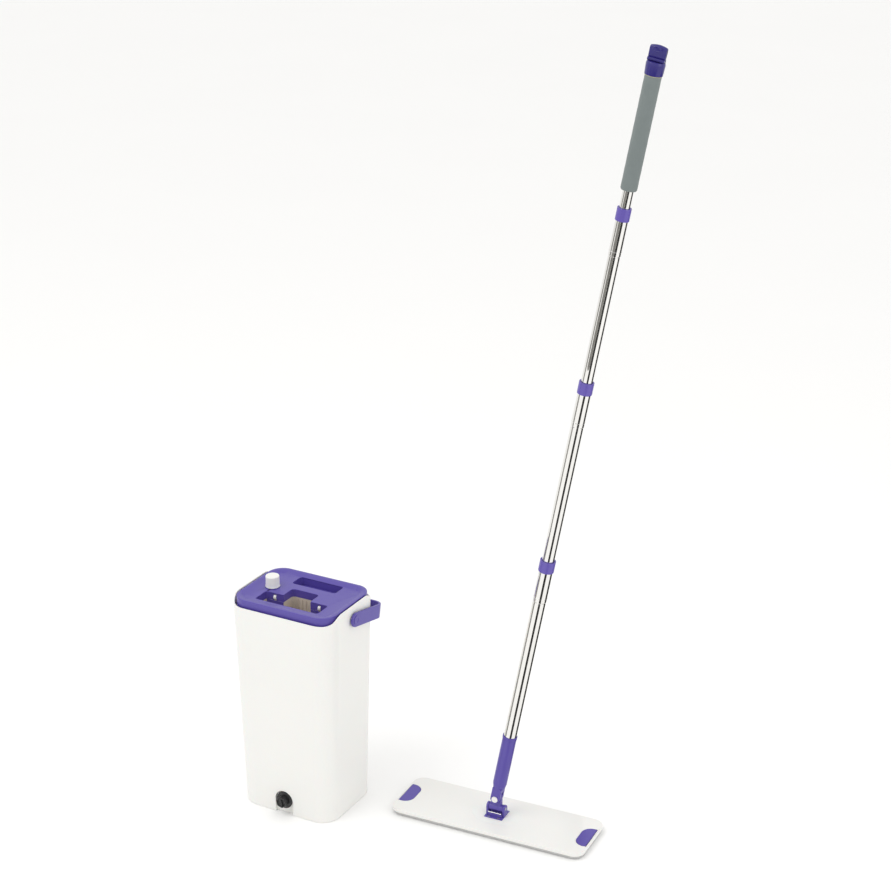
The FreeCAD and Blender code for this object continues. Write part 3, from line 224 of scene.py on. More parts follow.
def smooth(piece, angle=40):
    alone(piece)
    bpy.ops.object.shade_smooth_by_angle(angle=math.radians(angle))
    shape(piece, "WEIGHTED_NORMAL", keep_sharp=True)


def copied(node, name, width, steps=3, angle=35, holed=False):
    """A moulding cut to the designed part's shape, with its sharp edges rounded."""
    source = frame["nodes"][node]
    piece = bpy.data.objects.new(name, source.data.copy())
    bpy.context.scene.collection.objects.link(piece)
    alone(piece)
    bpy.ops.object.mode_set(mode="EDIT")
    bpy.ops.mesh.select_all(action="SELECT")
    bpy.ops.mesh.remove_doubles(threshold=WELD_GAP)
    bpy.ops.mesh.customdata_custom_splitnormals_clear()
    bpy.ops.mesh.dissolve_limited(angle_limit=math.radians(FLAT_ANGLE))
    if holed:
        bpy.ops.mesh.quads_convert_to_tris(quad_method="BEAUTY", ngon_method="BEAUTY")
    bpy.ops.object.mode_set(mode="OBJECT")
    round_edges(piece, width, steps, angle)
    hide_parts(node)
    return piece


def dress(piece, finish, body=None):
    """Give a piece its finish and the body that it moves with."""
    piece.data.materials.clear()
    piece.data.materials.append(finish.material)
    if body:
        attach(piece, body)
    return piece


def moulded(name, colour, shade, roughness, grain, relief, **sockets):
    """Injection moulded plastic: slow mottling, a fine mould grain and faint scuffs."""
    made = Finish(name, IOR=1.49, **sockets)
    clouds = made.noise(7, 3)
    fine = made.noise(grain, 2)
    scuffs = made.ramp(made.noise(55, 4, (1, 1, 0.12)), (0.56, 0), (0.72, 1))
    made.set("Base Color", made.mix(clouds, colour, shade))
    made.set("Roughness", fine * 0.10 + scuffs * 0.06 + (roughness - 0.05))
    made.relief(fine + scuffs * -0.15, relief)
    return made


white_plastic = moulded("white_plastic", WHITE, WHITE_SHADE, 0.40, 1400, 0.03 * mm,
                        Subsurface_Weight=0.06, Subsurface_Scale=0.004)
bucket = copied("bucket_shell", "bucket_body", RIM_ROUND)
dress(bucket, white_plastic, "bucket")

# ---------------------------------------------------------------- bail handle
# A flat purple strap, moulded with a bend at each rear corner, that snaps into the side
# walls. A shallow round cap covers each of its pivots.
PURPLE = (0.094, 0.067, 0.350)
PURPLE_SHADE = (0.080, 0.055, 0.320)
joints = {joint["name"]: joint for joint in frame["joints"]}
PIVOT_CAP_RADIUS = 8.2 * mm
PIVOT_CAP_PROUD = 0.9 * mm
PIVOT_CAP_ROOT = 0.4 * mm
DIMPLE_MOUTH = 0.62
DIMPLE_FLOOR = 0.56
DIMPLE_LEVEL = 0.45

purple_plastic = moulded("purple_plastic", PURPLE, PURPLE_SHADE, 0.36, 1700, 0.035 * mm,
                         Coat_Weight=0.06, Coat_Roughness=0.3)
bail = copied("bucket_handle", "bail_strap", 1.1 * mm)
dress(bail, purple_plastic, "bail")


def turned(name, rings, sides=64):
    """A round solid about its own upright axis, drawn up from its first ring."""
    radius, level = rings[0]
    bpy.ops.object.select_all(action="DESELECT")
    bpy.ops.mesh.primitive_circle_add(vertices=sides, radius=radius, fill_type="NGON",
                                      location=(0, 0, level))
    piece = bpy.context.object
    piece.name = name
    bpy.ops.object.transform_apply(location=True)
    bpy.ops.object.mode_set(mode="EDIT")
    bpy.ops.mesh.select_all(action="SELECT")
    for next_radius, next_level in rings[1:]:
        rise = (0, 0, next_level - level)
        bpy.ops.mesh.extrude_region_move(TRANSFORM_OT_translate={"value": rise})
        grow = next_radius / radius
        bpy.ops.transform.resize(value=(grow, grow, 1))
        radius, level = next_radius, next_level
    bpy.ops.mesh.select_all(action="SELECT")
    bpy.ops.mesh.normals_make_consistent(inside=False)
    bpy.ops.object.mode_set(mode="OBJECT")
    return piece


def joined(name, pieces):
    """Several loose pieces as one object."""
    alone(pieces[0])
    for piece in pieces[1:]:
        piece.select_set(True)
    bpy.ops.object.join()
    pieces[0].name = name
    return pieces[0]


bail_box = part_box("bucket_handle")
bail_pivot = Vector(joints["handle_swing"]["pos_m"])
caps = []
for side in (-1, 1):
    rings = [(PIVOT_CAP_RADIUS, -PIVOT_CAP_ROOT), (PIVOT_CAP_RADIUS, PIVOT_CAP_PROUD),
             (PIVOT_CAP_RADIUS * DIMPLE_MOUTH, PIVOT_CAP_PROUD),
             (PIVOT_CAP_RADIUS * DIMPLE_FLOOR, PIVOT_CAP_PROUD * DIMPLE_LEVEL)]
    cap = turned(f"bail_cap_{side}", rings, 48)
    round_edges(cap, 0.25 * mm, 2)
    face = bail_box[1].x if side > 0 else bail_box[0].x
    turn = Matrix.Rotation(math.radians(90 * side), 4, "Y")
    cap.data.transform(Matrix.Translation((face, bail_pivot.y, bail_pivot.z)) @ turn)
    caps.append(cap)
dress(joined("bail_pivot_caps", caps), purple_plastic, "bail")

# ---------------------------------------------------------------- drain
# A black screw cap closes the drain: a round flange on a rubber gasket, and a six-sided
# grip whose hollowed end has a bar across it for the thumb.
BLACK = (0.012, 0.012, 0.013)
BLACK_SHADE = (0.020, 0.020, 0.021)
RUBBER = (0.017, 0.017, 0.018)
RUBBER_SHADE = (0.024, 0.024, 0.024)
PLUG_RADIUS = 9 * mm
PLUG_LENGTH = 11.8 * mm
FLANGE_RADIUS = 15.5 * mm
FLANGE_BACK = 2.2 * mm
FLANGE_FRONT = 5.2 * mm
BAR_SIZE = (3.4 * mm, 15.0 * mm, 2.6 * mm)
CAP_TURN = 12
drain_spot = Vector(joints["drain_turn"]["pos_m"])
grip_front = drain_spot.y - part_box("drain_cap")[0].y
black_plastic = moulded("black_plastic", BLACK, BLACK_SHADE, 0.34, 1500, 0.05 * mm)
black_rubber = moulded("black_rubber", RUBBER, RUBBER_SHADE, 0.68, 900, 0.08 * mm)

flange = turned("drain_flange", [(PLUG_RADIUS, -PLUG_LENGTH), (PLUG_RADIUS, FLANGE_BACK),
                                 (FLANGE_RADIUS, FLANGE_BACK), (FLANGE_RADIUS, FLANGE_FRONT),
                                 (12.4 * mm, 6.0 * mm)], 72)
round_edges(flange, 0.5 * mm, 3)
grip = turned("drain_grip", [(10.7 * mm, 5.4 * mm), (10.5 * mm, grip_front),
                             (8.4 * mm, grip_front), (8.0 * mm, grip_front - 2.6 * mm)], 6)
round_edges(grip, 1.3 * mm, 4)
bpy.ops.object.select_all(action="DESELECT")
bpy.ops.mesh.primitive_cube_add(size=1, location=(0, 0, grip_front - 1.6 * mm))
bar = bpy.context.object
bar.scale = BAR_SIZE
bpy.ops.object.transform_apply(location=True, scale=True)
round_edges(bar, 0.7 * mm, 3)
cap = joined("drain_screw_cap", [flange, grip, bar])
face_front = Matrix.Translation(drain_spot) @ Matrix.Rotation(math.radians(90), 4, "X")
cap.data.transform(face_front @ Matrix.Rotation(math.radians(CAP_TURN), 4, "Z"))
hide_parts("drain_cap")
dress(cap, black_plastic, "drain_plug")
dress(frame["nodes"]["drain_gasket"], black_rubber)

# ---------------------------------------------------------------- wringer insert
# The dished purple lid lifts out with all that hangs below it: the T-shaped slot that takes
# the mop on edge, a pocket to fill the clean water tank, and a ribbed sleeve. A thin screen
# closes the back of each of the slot's wings.
# Painted shade: the ribbed sleeve is seen only down in the slot, and its tan colour stands in for
# the shade that falls on its white plastic there.
SLEEVE_PAINTED_SHADE = (0.66, 0.58, 0.49)
SLEEVE_PAINTED_SHADE_DEEP = (0.60, 0.52, 0.43)
SCREEN_HALF = (17.2 * mm, 0.3 * mm, 11 * mm)
SCREEN_BEHIND = 2 * mm
lid = copied("lid_cover", "insert_lid", 0.9 * mm, 3, 32, True)
dress(lid, purple_plastic, "wringer_insert")
for node in ("slot_lining", "fill_funnel"):
    dress(frame["nodes"][node], purple_plastic)
# The sleeve's finish carries painted shade: a tan tone in place of the shade down in the slot.
sleeve_painted_shade_plastic = moulded("sleeve_painted_shade_plastic", SLEEVE_PAINTED_SHADE, SLEEVE_PAINTED_SHADE_DEEP, 0.5, 900, 0.05 * mm)
dress(frame["nodes"]["wash_chute"], sleeve_painted_shade_plastic)
chute_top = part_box("wash_chute")[1].z
wing_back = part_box("guide_roller_left")[0].y + SCREEN_BEHIND
roller_middle = (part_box("guide_roller_right")[0].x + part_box("guide_roller_right")[1].x) / 2
screens = []
for side in (-1, 1):
    bpy.ops.object.select_all(action="DESELECT")
    spot = (roller_middle * side, wing_back - SCREEN_HALF[1], chute_top - SCREEN_HALF[2])
    bpy.ops.mesh.primitive_cube_add(size=2, location=spot)
    screen = bpy.context.object
    screen.scale = SCREEN_HALF
    bpy.ops.object.transform_apply(location=True, scale=True)
    screens.append(screen)
wing_screens = joined("wing_screens", screens)
round_edges(wing_screens, 0.15 * mm, 2)
dress(wing_screens, purple_plastic, "wringer_insert")
dress(frame["nodes"]["clean_water_tank"], white_plastic)
dress(frame["nodes"]["scraper_holder"], white_plastic)
dress(frame["nodes"]["scraper_blade"], black_rubber)

# ---------------------------------------------------------------- water valve
# A white knob, a little wider at its foot, turns a long rod. The rod turns a disc on the
# tank's floor that opens or shuts the water's way out.
knob_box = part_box("valve_knob")
knob_middle = (knob_box[0] + knob_box[1]) / 2
knob_height = knob_box[1].z - knob_box[0].z
knob_foot = [(12.8 * mm, 0), (12.5 * mm, 2.0 * mm), (12.0 * mm, 4.5 * mm)]
knob_shoulder = [(11.9 * mm, knob_height - 1.2 * mm), (11.2 * mm, knob_height - 0.2 * mm)]
knob_top = [(10.2 * mm, knob_height), (8.6 * mm, knob_height), (8.2 * mm, knob_height - 0.5 * mm)]
knob = turned("valve_cap", knob_foot + knob_shoulder + knob_top, 72)
round_edges(knob, 0.35 * mm, 3, 20)
knob.data.transform(Matrix.Translation((knob_middle.x, knob_middle.y, knob_box[0].z)))
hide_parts("valve_knob")
dress(knob, white_plastic, "water_valve")
dress(frame["nodes"]["knob_washer"], black_rubber)
dress(frame["nodes"]["valve_rod"], white_plastic)
dress(frame["nodes"]["valve_disc"], white_plastic)

# ---------------------------------------------------------------- guide rollers
# One white roller sits in a notch at the back of each wing of the slot, on a steel pin. It
# keeps the plate off the lining as the mop goes down. Steel screws hold the sleeve's flange.
PIN_STEEL = (0.62, 0.61, 0.59)
PIN_STEEL_LIGHT = (0.72, 0.71, 0.69)
steel_pin = Finish("steel_pin", Metallic=1.0)
steel_pin.set("Base Color", steel_pin.mix(steel_pin.noise(300), PIN_STEEL, PIN_STEEL_LIGHT))
steel_pin.set("Roughness", steel_pin.noise(900) * 0.12 + 0.20)
steel_pin.relief(steel_pin.noise(1800), 0.01 * mm)
for side in ("left", "right"):
    roller = copied(f"guide_roller_{side}", f"slot_roller_{side}", 0.5 * mm, 3)
    dress(roller, white_plastic, f"roller_{side}")
    dress(frame["nodes"][f"roller_axle_{side}"], steel_pin)
dress(frame["nodes"]["insert_screws"], steel_pin)

# ---------------------------------------------------------------- mop plate
# The plate is moulded in the same white plastic, thin and ribbed below. Its top is flat but
# for a low oval swell round the bracket, which spreads the pole's push.
head_across = Vector(joints["head_tilt"]["axis"]).normalized()
head_axle = Vector(joints["head_tilt"]["pos_m"])
head_yaw = math.atan2(head_across.y, head_across.x)
plate_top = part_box("mop_plate")[1].z
on_head = Matrix.Translation((head_axle.x, head_axle.y, 0)) @ Matrix.Rotation(head_yaw, 4, "Z")
SWELL_HALF = (45 * mm, 30 * mm)
SWELL_HEIGHT = 1.1 * mm

plate = copied("mop_plate", "plate_board", 0.8 * mm, 3)
dress(plate, white_plastic, "mop_head")
swell = turned("plate_swell", [(1.0, -0.3 * mm), (1.0, 0), (0.90, SWELL_HEIGHT * 0.35),
                               (0.80, SWELL_HEIGHT * 0.85), (0.74, SWELL_HEIGHT),
                               (0.4, SWELL_HEIGHT)], 96)
swell.data.transform(Matrix.Diagonal((*SWELL_HALF, 1, 1)))
swell.data.transform(on_head @ Matrix.Translation((0, 0, plate_top)))
smooth(swell, 60)
dress(swell, white_plastic, "mop_head")

# ---------------------------------------------------------------- end clips
# A D-shaped purple clip at each end of the plate holds down the pad's flap. It has a fine
# diagonal grain under the thumb, and lifts on a steel pin along its straight side.
grained = Finish("clip_plastic", IOR=1.49)
stripes = {"bands_direction": "DIAGONAL"}
grip_lines = grained.node("TexWave", stripes, {"Vector": grained.spot(), "Scale": 260.0})
grained.set("Base Color", grained.mix(grained.noise(9), PURPLE, PURPLE_SHADE))
grained.set("Roughness", grained.noise(1200) * 0.12 + 0.36)
grained.relief(grip_lines * 0.6 + grained.noise(1400) * 0.4, 0.08 * mm)
for side in ("left", "right"):
    clip = copied(f"pad_clip_{side}", f"end_clip_{side}", 0.35 * mm, 3)
    dress(clip, grained, f"clip_{side}")
    dress(frame["nodes"][f"clip_pin_{side}"], steel_pin)

# ---------------------------------------------------------------- mop pad
# The grey pad is a microfibre sleeve over a thin foam core. It is sewn shut round its edge
# with a bound seam, and hook tape under the plate grips its looped top.
PAD_GREY = (0.33, 0.335, 0.33)
PAD_LIGHT = (0.52, 0.525, 0.515)
pad_low, pad_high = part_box("mop_pad")
pad_thick = pad_high.z - pad_low.z
PAD_LENGTH = 352 * mm
PAD_WIDTH = 112 * mm
PAD_CORNER = 17 * mm
SWELL_LIMIT = 0.9 * mm
CLOTH_STEPS = 12

fabric = Finish("pad_fabric", Specular_IOR_Level=0.25, Sheen_Weight=0.35, Sheen_Roughness=0.5)
tufts = fabric.node("TexVoronoi", {}, {"Vector": fabric.spot((1, 1, 0.6)), "Scale": 520.0})
fibres = fabric.noise(2600, 3)
tuft_share = fabric.ramp(tufts + fibres * 0.4 - 0.15, (0.1, 0), (0.8, 1))
fabric.set("Base Color", fabric.mix(tuft_share, PAD_LIGHT, PAD_GREY))
fabric.set("Roughness", fibres * 0.15 + 0.80)
fabric.relief((1 - tufts) * 0.7 + fibres * 0.5, 0.5 * mm)


def slab(name, length, width, low, high, corner, steps=10):
    """A flat block with four round upright corners, about the origin."""
    bpy.ops.object.select_all(action="DESELECT")
    bpy.ops.mesh.primitive_cube_add(size=1, location=(0, 0, (low + high) / 2))
    piece = bpy.context.object
    piece.name = name
    piece.scale = (length, width, high - low)
    bpy.ops.object.transform_apply(location=True, scale=True)
    bpy.ops.object.mode_set(mode="EDIT")
    bpy.ops.mesh.select_mode(type="EDGE")
    bpy.ops.mesh.select_all(action="DESELECT")
    bpy.ops.object.mode_set(mode="OBJECT")
    for edge in piece.data.edges:
        first, second = [piece.data.vertices[number].co for number in edge.vertices]
        edge.select = abs(first.z - second.z) > (high - low) / 2
    bpy.ops.object.mode_set(mode="EDIT")
    bpy.ops.mesh.bevel(offset=corner, segments=steps, affect="EDGES")
    bpy.ops.object.mode_set(mode="OBJECT")
    return piece


pad = slab("pad_cushion", PAD_LENGTH - 2 * SWELL_LIMIT, PAD_WIDTH - 2 * SWELL_LIMIT,
           0.6 * mm, pad_thick - 0.3 * mm, PAD_CORNER)
pad.data.remesh_voxel_size = 2.2 * mm
alone(pad)
bpy.ops.object.voxel_remesh()
start = [vertex.co.copy() for vertex in pad.data.vertices]
cloth = pad.modifiers.new("cloth", "CLOTH")
cloth.settings.use_pressure = True
cloth.settings.uniform_pressure_force = 3.0
cloth.settings.effector_weights.gravity = 0
scene = bpy.context.scene
for step in range(1, CLOTH_STEPS + 1):
    scene.frame_set(step)
bpy.ops.object.modifier_apply(modifier="cloth")
scene.frame_set(1)
for vertex, place in zip(pad.data.vertices, start):
    move = vertex.co - place
    if move.length > SWELL_LIMIT:
        move *= SWELL_LIMIT / move.length
    spot = place + move
    spot.z = min(max(spot.z, 0.1 * mm), pad_thick)
    vertex.co = spot
shape(pad, "SUBSURF", levels=1, render_levels=1)
pad.data.transform(on_head)
smooth(pad, 70)
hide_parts("mop_pad")
dress(pad, fabric, "mop_head")
HOOK_BLACK = (0.05, 0.05, 0.05)
HOOK_GREY = (0.12, 0.12, 0.12)
strip_tape = Finish("hook_tape", Specular_IOR_Level=0.3)
strip_tape.set("Base Color", strip_tape.mix(strip_tape.noise(1500), HOOK_BLACK, HOOK_GREY))
strip_tape.set("Roughness", strip_tape.noise(800) * 0.2 + 0.7)
strip_tape.relief(strip_tape.noise(1900, 4), 0.6 * mm)
dress(frame["nodes"]["pad_strips"], strip_tape)

# ---------------------------------------------------------------- bound edge of the pad
# A folded tape of paler microfibre is sewn round the pad, with an even row of stitches
# along its middle.
BINDING_HALF = 1.9 * mm
BINDING_THICK = 1.3 * mm
TAPE_LIGHT = (0.60, 0.60, 0.59)
TAPE_GREY = (0.42, 0.42, 0.415)
binding = slab("pad_binding", PAD_LENGTH, PAD_WIDTH, pad_thick / 2 - BINDING_HALF,
               pad_thick / 2 + BINDING_HALF, PAD_CORNER + 1 * mm, 14)
alone(binding)
bpy.ops.object.mode_set(mode="EDIT")
bpy.ops.mesh.select_mode(type="FACE")
bpy.ops.mesh.select_all(action="DESELECT")
bpy.ops.object.mode_set(mode="OBJECT")
for polygon in binding.data.polygons:
    polygon.select = abs(polygon.normal.z) > 0.9
bpy.ops.object.mode_set(mode="EDIT")
bpy.ops.mesh.delete(type="FACE")
bpy.ops.object.mode_set(mode="OBJECT")
shape(binding, "SOLIDIFY", thickness=BINDING_THICK, offset=-0.4)
round_edges(binding, 0.5 * mm, 3)
binding.data.transform(on_head)
tape = Finish("binding_tape", Specular_IOR_Level=0.25, Sheen_Weight=0.3)
stitches = {"Vector": tape.spot(), "Scale": 330.0, "Distortion": 0.6}
weave = tape.node("TexWave", {"bands_direction": "X"}, stitches)
tape.set("Base Color", tape.mix(weave * 0.5 + tape.noise(1500) * 0.4, TAPE_LIGHT, TAPE_GREY))
tape.set("Roughness", tape.noise(900) * 0.1 + 0.8)
tape.relief(weave * 0.6 + tape.noise(2200) * 0.5, 0.15 * mm)
dress(binding, tape, "mop_head")

# ---------------------------------------------------------------- head joint
# The bracket is screwed to the plate. A barrel on its axle tips to both sides, and the
# fork of the pole's socket swings on a white pin. A steel spring wire holds it upright.
bracket = copied("head_bracket", "joint_bracket", 0.45 * mm, 2)
dress(bracket, purple_plastic, "mop_head")
yoke = copied("yoke_block", "joint_yoke", 0.35 * mm, 2)
dress(yoke, purple_plastic, "yoke")
for node in ("bracket_screws", "lower_axle"):
    dress(frame["nodes"][node], steel_pin)
WIRE_STEEL = (0.80, 0.79, 0.77)
WIRE_STEEL_LIGHT = (0.9, 0.89, 0.87)
bright_wire = Finish("bright_wire", Metallic=1.0)
bright_wire.set("Base Color",
                bright_wire.mix(bright_wire.noise(200), WIRE_STEEL, WIRE_STEEL_LIGHT))
bright_wire.set("Roughness", bright_wire.noise(700) * 0.1 + 0.16)
dress(frame["nodes"]["detent_spring"], bright_wire)

pole_up = Vector(joints["hook_swivel"]["axis"]).normalized()
pin_spot = Vector(joints["pole_lean"]["pos_m"])
pole_across = Vector((-math.sin(head_yaw), math.cos(head_yaw), 0))
pole_side = pole_across.cross(pole_up)
pole_axes = Matrix((pole_side, pole_across, pole_up)).transposed().to_4x4()
on_pole = Matrix.Translation(pin_spot) @ pole_axes


def along_pole(spot):
    """How far up the pole from its pivot pin a place lies."""
    return (Vector(spot) - pin_spot).dot(pole_up)


socket = copied("handle_socket", "pole_socket", 0.5 * mm, 3)
dress(socket, purple_plastic, "pole_lower")
pin_shank = copied("pivot_pin", "fork_pin", 0.6 * mm, 3)
dress(pin_shank, white_plastic, "pole_lower")

# ---------------------------------------------------------------- steel tubes
# Four thin tubes of polished stainless steel slide into each other. Fine draw lines run
# along them, and a rolled ring below each mouth keeps the next tube's foot from coming out.
CRIMP_BELOW = 59 * mm
CRIMP_WIRE = 0.75 * mm
CRIMP_SUNK = 0.35
CRIMPS = (("one", "pole_lower", 11.7), ("two", "pole_two", 10.7), ("three", "pole_three", 9.7))
steel = Finish("stainless_tube", Metallic=1.0)
unturned = tuple(on_pole.to_3x3().inverted().to_euler())
drawn = steel.noise(90, 4, (10, 10, 0.05), unturned)
haze = steel.noise(14, 3)
steel.set("Base Color", steel.mix(haze, (0.86, 0.85, 0.83), (0.79, 0.78, 0.755)))
steel.set("Roughness", drawn * 0.05 + haze * 0.03 + 0.02)
steel.relief(drawn, 0.002 * mm)
for count in ("one", "two", "three", "four"):
    dress(frame["nodes"][f"tube_{count}"], steel)

for count, body, radius in CRIMPS:
    level = along_pole(joints[f"collar_{count}_twist"]["pos_m"]) - CRIMP_BELOW
    bpy.ops.object.select_all(action="DESELECT")
    bpy.ops.mesh.primitive_torus_add(
        major_radius=(radius - CRIMP_SUNK) * mm, minor_radius=CRIMP_WIRE,
        major_segments=64, minor_segments=16, location=(0, 0, level))
    crimp = bpy.context.object
    crimp.name = f"crimp_ring_{count}"
    bpy.ops.object.transform_apply(location=True)
    crimp.data.transform(on_pole)
    smooth(crimp, 80)
    dress(crimp, bright_wire, body)

# ---------------------------------------------------------------- dark cloths beside the pole
# Long dark cloths hang out of view on both sides of the pole, and only reflections show
# them, so that the polished steel has the dark streaks of a real studio.
TOWARDS_CAMERA = math.radians(CAMERA_TURN - 90)
CLOTH_AWAY = 0.14
CLOTH_LOW = -0.03
CLOTH_HIGH = 1.25
DARK = (0.02, 0.02, 0.02)
DARK_WORN = (0.035, 0.034, 0.032)
GREY = (0.24, 0.235, 0.22)
GREY_WORN = (0.30, 0.295, 0.28)
cloth_dark = Finish("cloth_dark", Roughness=0.9)
cloth_dark.set("Base Color", cloth_dark.mix(cloth_dark.noise(8), DARK, DARK_WORN))
cloth_grey = Finish("cloth_grey", Roughness=0.9)
cloth_grey.set("Base Color", cloth_grey.mix(cloth_grey.noise(8), GREY, GREY_WORN))


def hang_cloth(name, finish, turn, width, low=CLOTH_LOW):
    """A flat cloth beside the pole, square to the line that joins it to the pole."""
    angle = TOWARDS_CAMERA + math.radians(turn)
    outward = Vector((math.cos(angle), math.sin(angle), 0))
    outward = (outward - pole_up * outward.dot(pole_up)).normalized()
    bpy.ops.object.select_all(action="DESELECT")
    bpy.ops.mesh.primitive_plane_add(size=1)
    cloth = bpy.context.object
    cloth.name = name
    cloth.scale = (width, CLOTH_HIGH - low, 1)
    bpy.ops.object.transform_apply(scale=True)
    facing = Matrix((outward.cross(pole_up), pole_up, -outward)).transposed().to_4x4()
    middle = pin_spot + pole_up * ((low + CLOTH_HIGH) / 2) + outward * CLOTH_AWAY
    cloth.data.transform(Matrix.Translation(middle) @ facing)
    cloth.data.materials.append(finish.material)
    for sight in ("camera", "diffuse", "transmission", "volume_scatter", "shadow"):
        setattr(cloth, "visible_" + sight, False)


hang_cloth("cloth_front", cloth_dark, 5, 0.082)
hang_cloth("cloth_right", cloth_dark, 105, 0.115)
hang_cloth("cloth_left", cloth_grey, -86, 0.060)
hang_cloth("cloth_upper_left", cloth_grey, -36, 0.120, 0.76)

# ---------------------------------------------------------------- twist locks
# A purple collar turns on each tube's mouth and closes a split collet round the next tube.
# A plastic bush guides the hidden foot of each sliding tube.
LIGHT_PURPLE = (0.125, 0.090, 0.400)
LIGHT_PURPLE_SHADE = (0.110, 0.078, 0.365)
light_purple = moulded("light_purple_plastic", LIGHT_PURPLE, LIGHT_PURPLE_SHADE, 0.34, 1700,
                       0.03 * mm)
for count in ("one", "two", "three"):
    collar = copied(f"lock_collar_{count}", f"twist_collar_{count}", 0.45 * mm, 3)
    dress(collar, light_purple, f"collar_{count}")
    dress(frame["nodes"][f"collet_{count}"], white_plastic)
for count in ("two", "three", "four"):
    dress(frame["nodes"][f"bush_{count}"], black_plastic)

# ---------------------------------------------------------------- grip
# A closed-cell foam sleeve is pulled over the top tube. It is soft and finely pored, with a
# pale bead of glue showing where it meets the cap.
GRIP_RADIUS = 12.7 * mm
FOAM = (0.188, 0.218, 0.216)
FOAM_SHADE = (0.160, 0.186, 0.184)
GRIP_ABOVE_COLLAR = 38 * mm
GRIP_BELOW_HOOK = 20 * mm
ROWS = 24
foam = Finish("grey_foam", Specular_IOR_Level=0.35, Sheen_Weight=0.15)
pores = foam.node("TexVoronoi", {}, {"Vector": foam.spot(), "Scale": 900.0})
foam.set("Base Color", foam.mix(foam.noise(60, 4), FOAM, FOAM_SHADE))
foam.set("Roughness", foam.noise(700) * 0.15 + 0.62)
foam.relief(pores * 0.6 + foam.noise(1500, 3) * 0.6, 0.12 * mm)
grip_low = along_pole(joints["collar_three_twist"]["pos_m"]) + GRIP_ABOVE_COLLAR
grip_high = along_pole(joints["hook_swivel"]["pos_m"]) - GRIP_BELOW_HOOK
foam_rings = [(8.2 * mm, grip_low + 0.6 * mm), (GRIP_RADIUS - 2.2 * mm, grip_low),
              (GRIP_RADIUS - 0.7 * mm, grip_low + 0.5 * mm), (GRIP_RADIUS, grip_low + 2.2 * mm)]
for row in range(1, ROWS + 1):
    level = grip_low + 2.2 * mm + (grip_high - grip_low - 3.2 * mm) * row / ROWS
    foam_rings.append((GRIP_RADIUS + 0.10 * mm * math.sin(row * 2.1), level))
foam_rings += [(GRIP_RADIUS - 0.5 * mm, grip_high), (8.0 * mm, grip_high)]
sleeve = turned("grip_foam", foam_rings)
smooth(sleeve, 60)
sleeve.data.transform(on_pole)
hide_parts("grip_sleeve")
dress(sleeve, foam, "pole_four")

GLUE = (0.42, 0.40, 0.28)
GLUE_SHADE = (0.34, 0.33, 0.22)
glue = Finish("glue_bead", IOR=1.5)
glue.set("Base Color", glue.mix(glue.noise(400), GLUE, GLUE_SHADE))
glue.set("Roughness", glue.noise(700) * 0.2 + 0.4)
bpy.ops.object.select_all(action="DESELECT")
bpy.ops.mesh.primitive_torus_add(
    major_radius=GRIP_RADIUS - 0.1 * mm, minor_radius=0.7 * mm,
    major_segments=64, minor_segments=12, location=(0, 0, grip_high - 0.6 * mm))
bead = bpy.context.object
bead.name = "grip_glue_bead"
bpy.ops.object.transform_apply(location=True)
bead.data.transform(on_pole)
smooth(bead, 80)
dress(bead, glue, "pole_four")

# ---------------------------------------------------------------- end cap and hook
# A purple cap closes the grip and flares a little to its top. The flat hook turns on it:
# its strap bends up, over and down to a short lip, to hang the mop on a wall peg.
HOOK_WIDTH = 26.6 * mm
HOOK_THICK = 4.6 * mm
HOOK_REACH = 8.6 * mm
HOOK_STRAIGHT = 20 * mm
LIP_END = 13.5 * mm
TOP_ARCH = 2.6 * mm
HOOK_FOOT = 6 * mm
TURN_RADIUS = 5 * mm
OVAL_RADIUS = 3.6 * mm
OVAL_BEAD = 0.55 * mm
OVAL_STRETCH = 1.6
STUB_RADIUS = 4 * mm
STUB_DEPTH = 12 * mm
DEEP_PURPLE = (0.021, 0.014, 0.175)
DEEP_PURPLE_SHADE = (0.018, 0.012, 0.155)
dark_purple = moulded("deep_purple_plastic", DEEP_PURPLE, DEEP_PURPLE_SHADE, 0.26, 1500,
                      0.02 * mm, Coat_Weight=0.12, Coat_Roughness=0.12)
end_cap = copied("end_cap", "grip_cap", 0.5 * mm, 3)
dress(end_cap, dark_purple, "pole_four")

hook_base = along_pole(joints["hook_swivel"]["pos_m"]) + 0.3 * mm
bpy.ops.object.select_all(action="DESELECT")
bpy.ops.mesh.primitive_plane_add(size=1, location=(0, -HOOK_FOOT, HOOK_THICK / 2),
                                 rotation=(math.radians(90), 0, 0))
hook = bpy.context.object
hook.name = "hanging_strap"
hook.scale = (HOOK_WIDTH, HOOK_THICK, 1)
bpy.ops.object.transform_apply(location=True, rotation=True, scale=True)
bpy.ops.object.mode_set(mode="EDIT")
bpy.ops.mesh.select_all(action="SELECT")
across = (1, 0, 0)


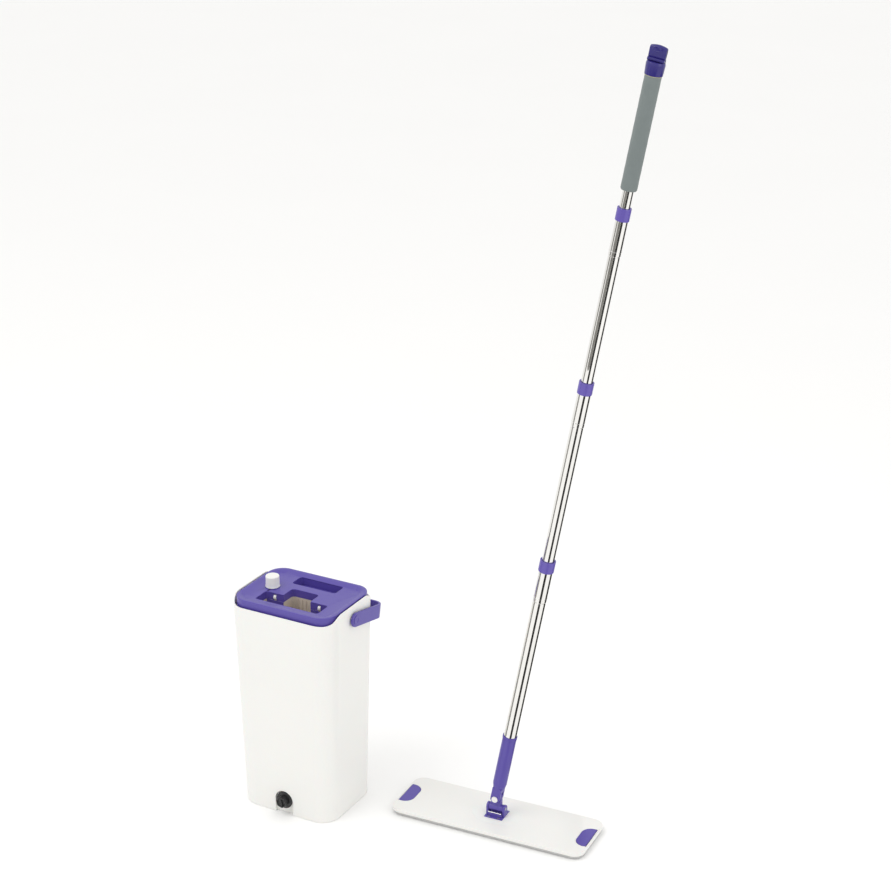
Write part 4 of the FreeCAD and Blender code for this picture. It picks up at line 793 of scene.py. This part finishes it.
def draw_on(y, z):
    """Draw the strap's end on by one straight step."""
    bpy.ops.mesh.extrude_region_move(TRANSFORM_OT_translate={"value": (0, y, z)})


draw_on(HOOK_FOOT + HOOK_REACH - TURN_RADIUS, 0)
bpy.ops.mesh.spin(steps=6, angle=math.radians(90), axis=across,
                  center=(0, HOOK_REACH - TURN_RADIUS, HOOK_THICK / 2 + TURN_RADIUS))
draw_on(0, HOOK_STRAIGHT - HOOK_THICK / 2 - TURN_RADIUS)
bpy.ops.mesh.spin(steps=14, angle=math.radians(180), axis=across, center=(0, 0, HOOK_STRAIGHT))
draw_on(0, LIP_END - HOOK_STRAIGHT)
bpy.ops.mesh.select_all(action="SELECT")
bpy.ops.mesh.remove_doubles(threshold=WELD_GAP)
bpy.ops.mesh.normals_make_consistent(inside=False)
for share in (-0.42, -0.32, -0.18, 0, 0.18, 0.32, 0.42):
    bpy.ops.mesh.select_all(action="SELECT")
    bpy.ops.mesh.bisect(plane_co=(share * HOOK_WIDTH, 0, 0), plane_no=(1, 0, 0))
bpy.ops.object.mode_set(mode="OBJECT")
for vertex in hook.data.vertices:
    rise = max(vertex.co.z - TURN_RADIUS, 0) / HOOK_STRAIGHT
    vertex.co.z -= TOP_ARCH * min(rise, 1) * (2 * vertex.co.x / HOOK_WIDTH) ** 2
round_edges(hook, 1.1 * mm, 4, 50)
bpy.ops.object.select_all(action="DESELECT")
bpy.ops.mesh.primitive_torus_add(
    major_radius=OVAL_RADIUS, minor_radius=OVAL_BEAD, major_segments=48, minor_segments=12,
    location=(0, -HOOK_REACH - HOOK_THICK / 2, HOOK_STRAIGHT - 1 * mm),
    rotation=(math.radians(90), 0, 0))
oval = bpy.context.object
oval.scale = (OVAL_STRETCH, 1, 1)
bpy.ops.object.transform_apply(location=True, rotation=True, scale=True)
smooth(oval, 80)
stub = turned("hook_stub", [(STUB_RADIUS, -STUB_DEPTH), (STUB_RADIUS, 1 * mm)], 32)
hook = joined("hanging_strap", [hook, stub, oval])
hook.data.transform(on_pole @ Matrix.Translation((0, 0, hook_base)))
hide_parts("hanging_hook")
dress(hook, dark_purple, "hook")
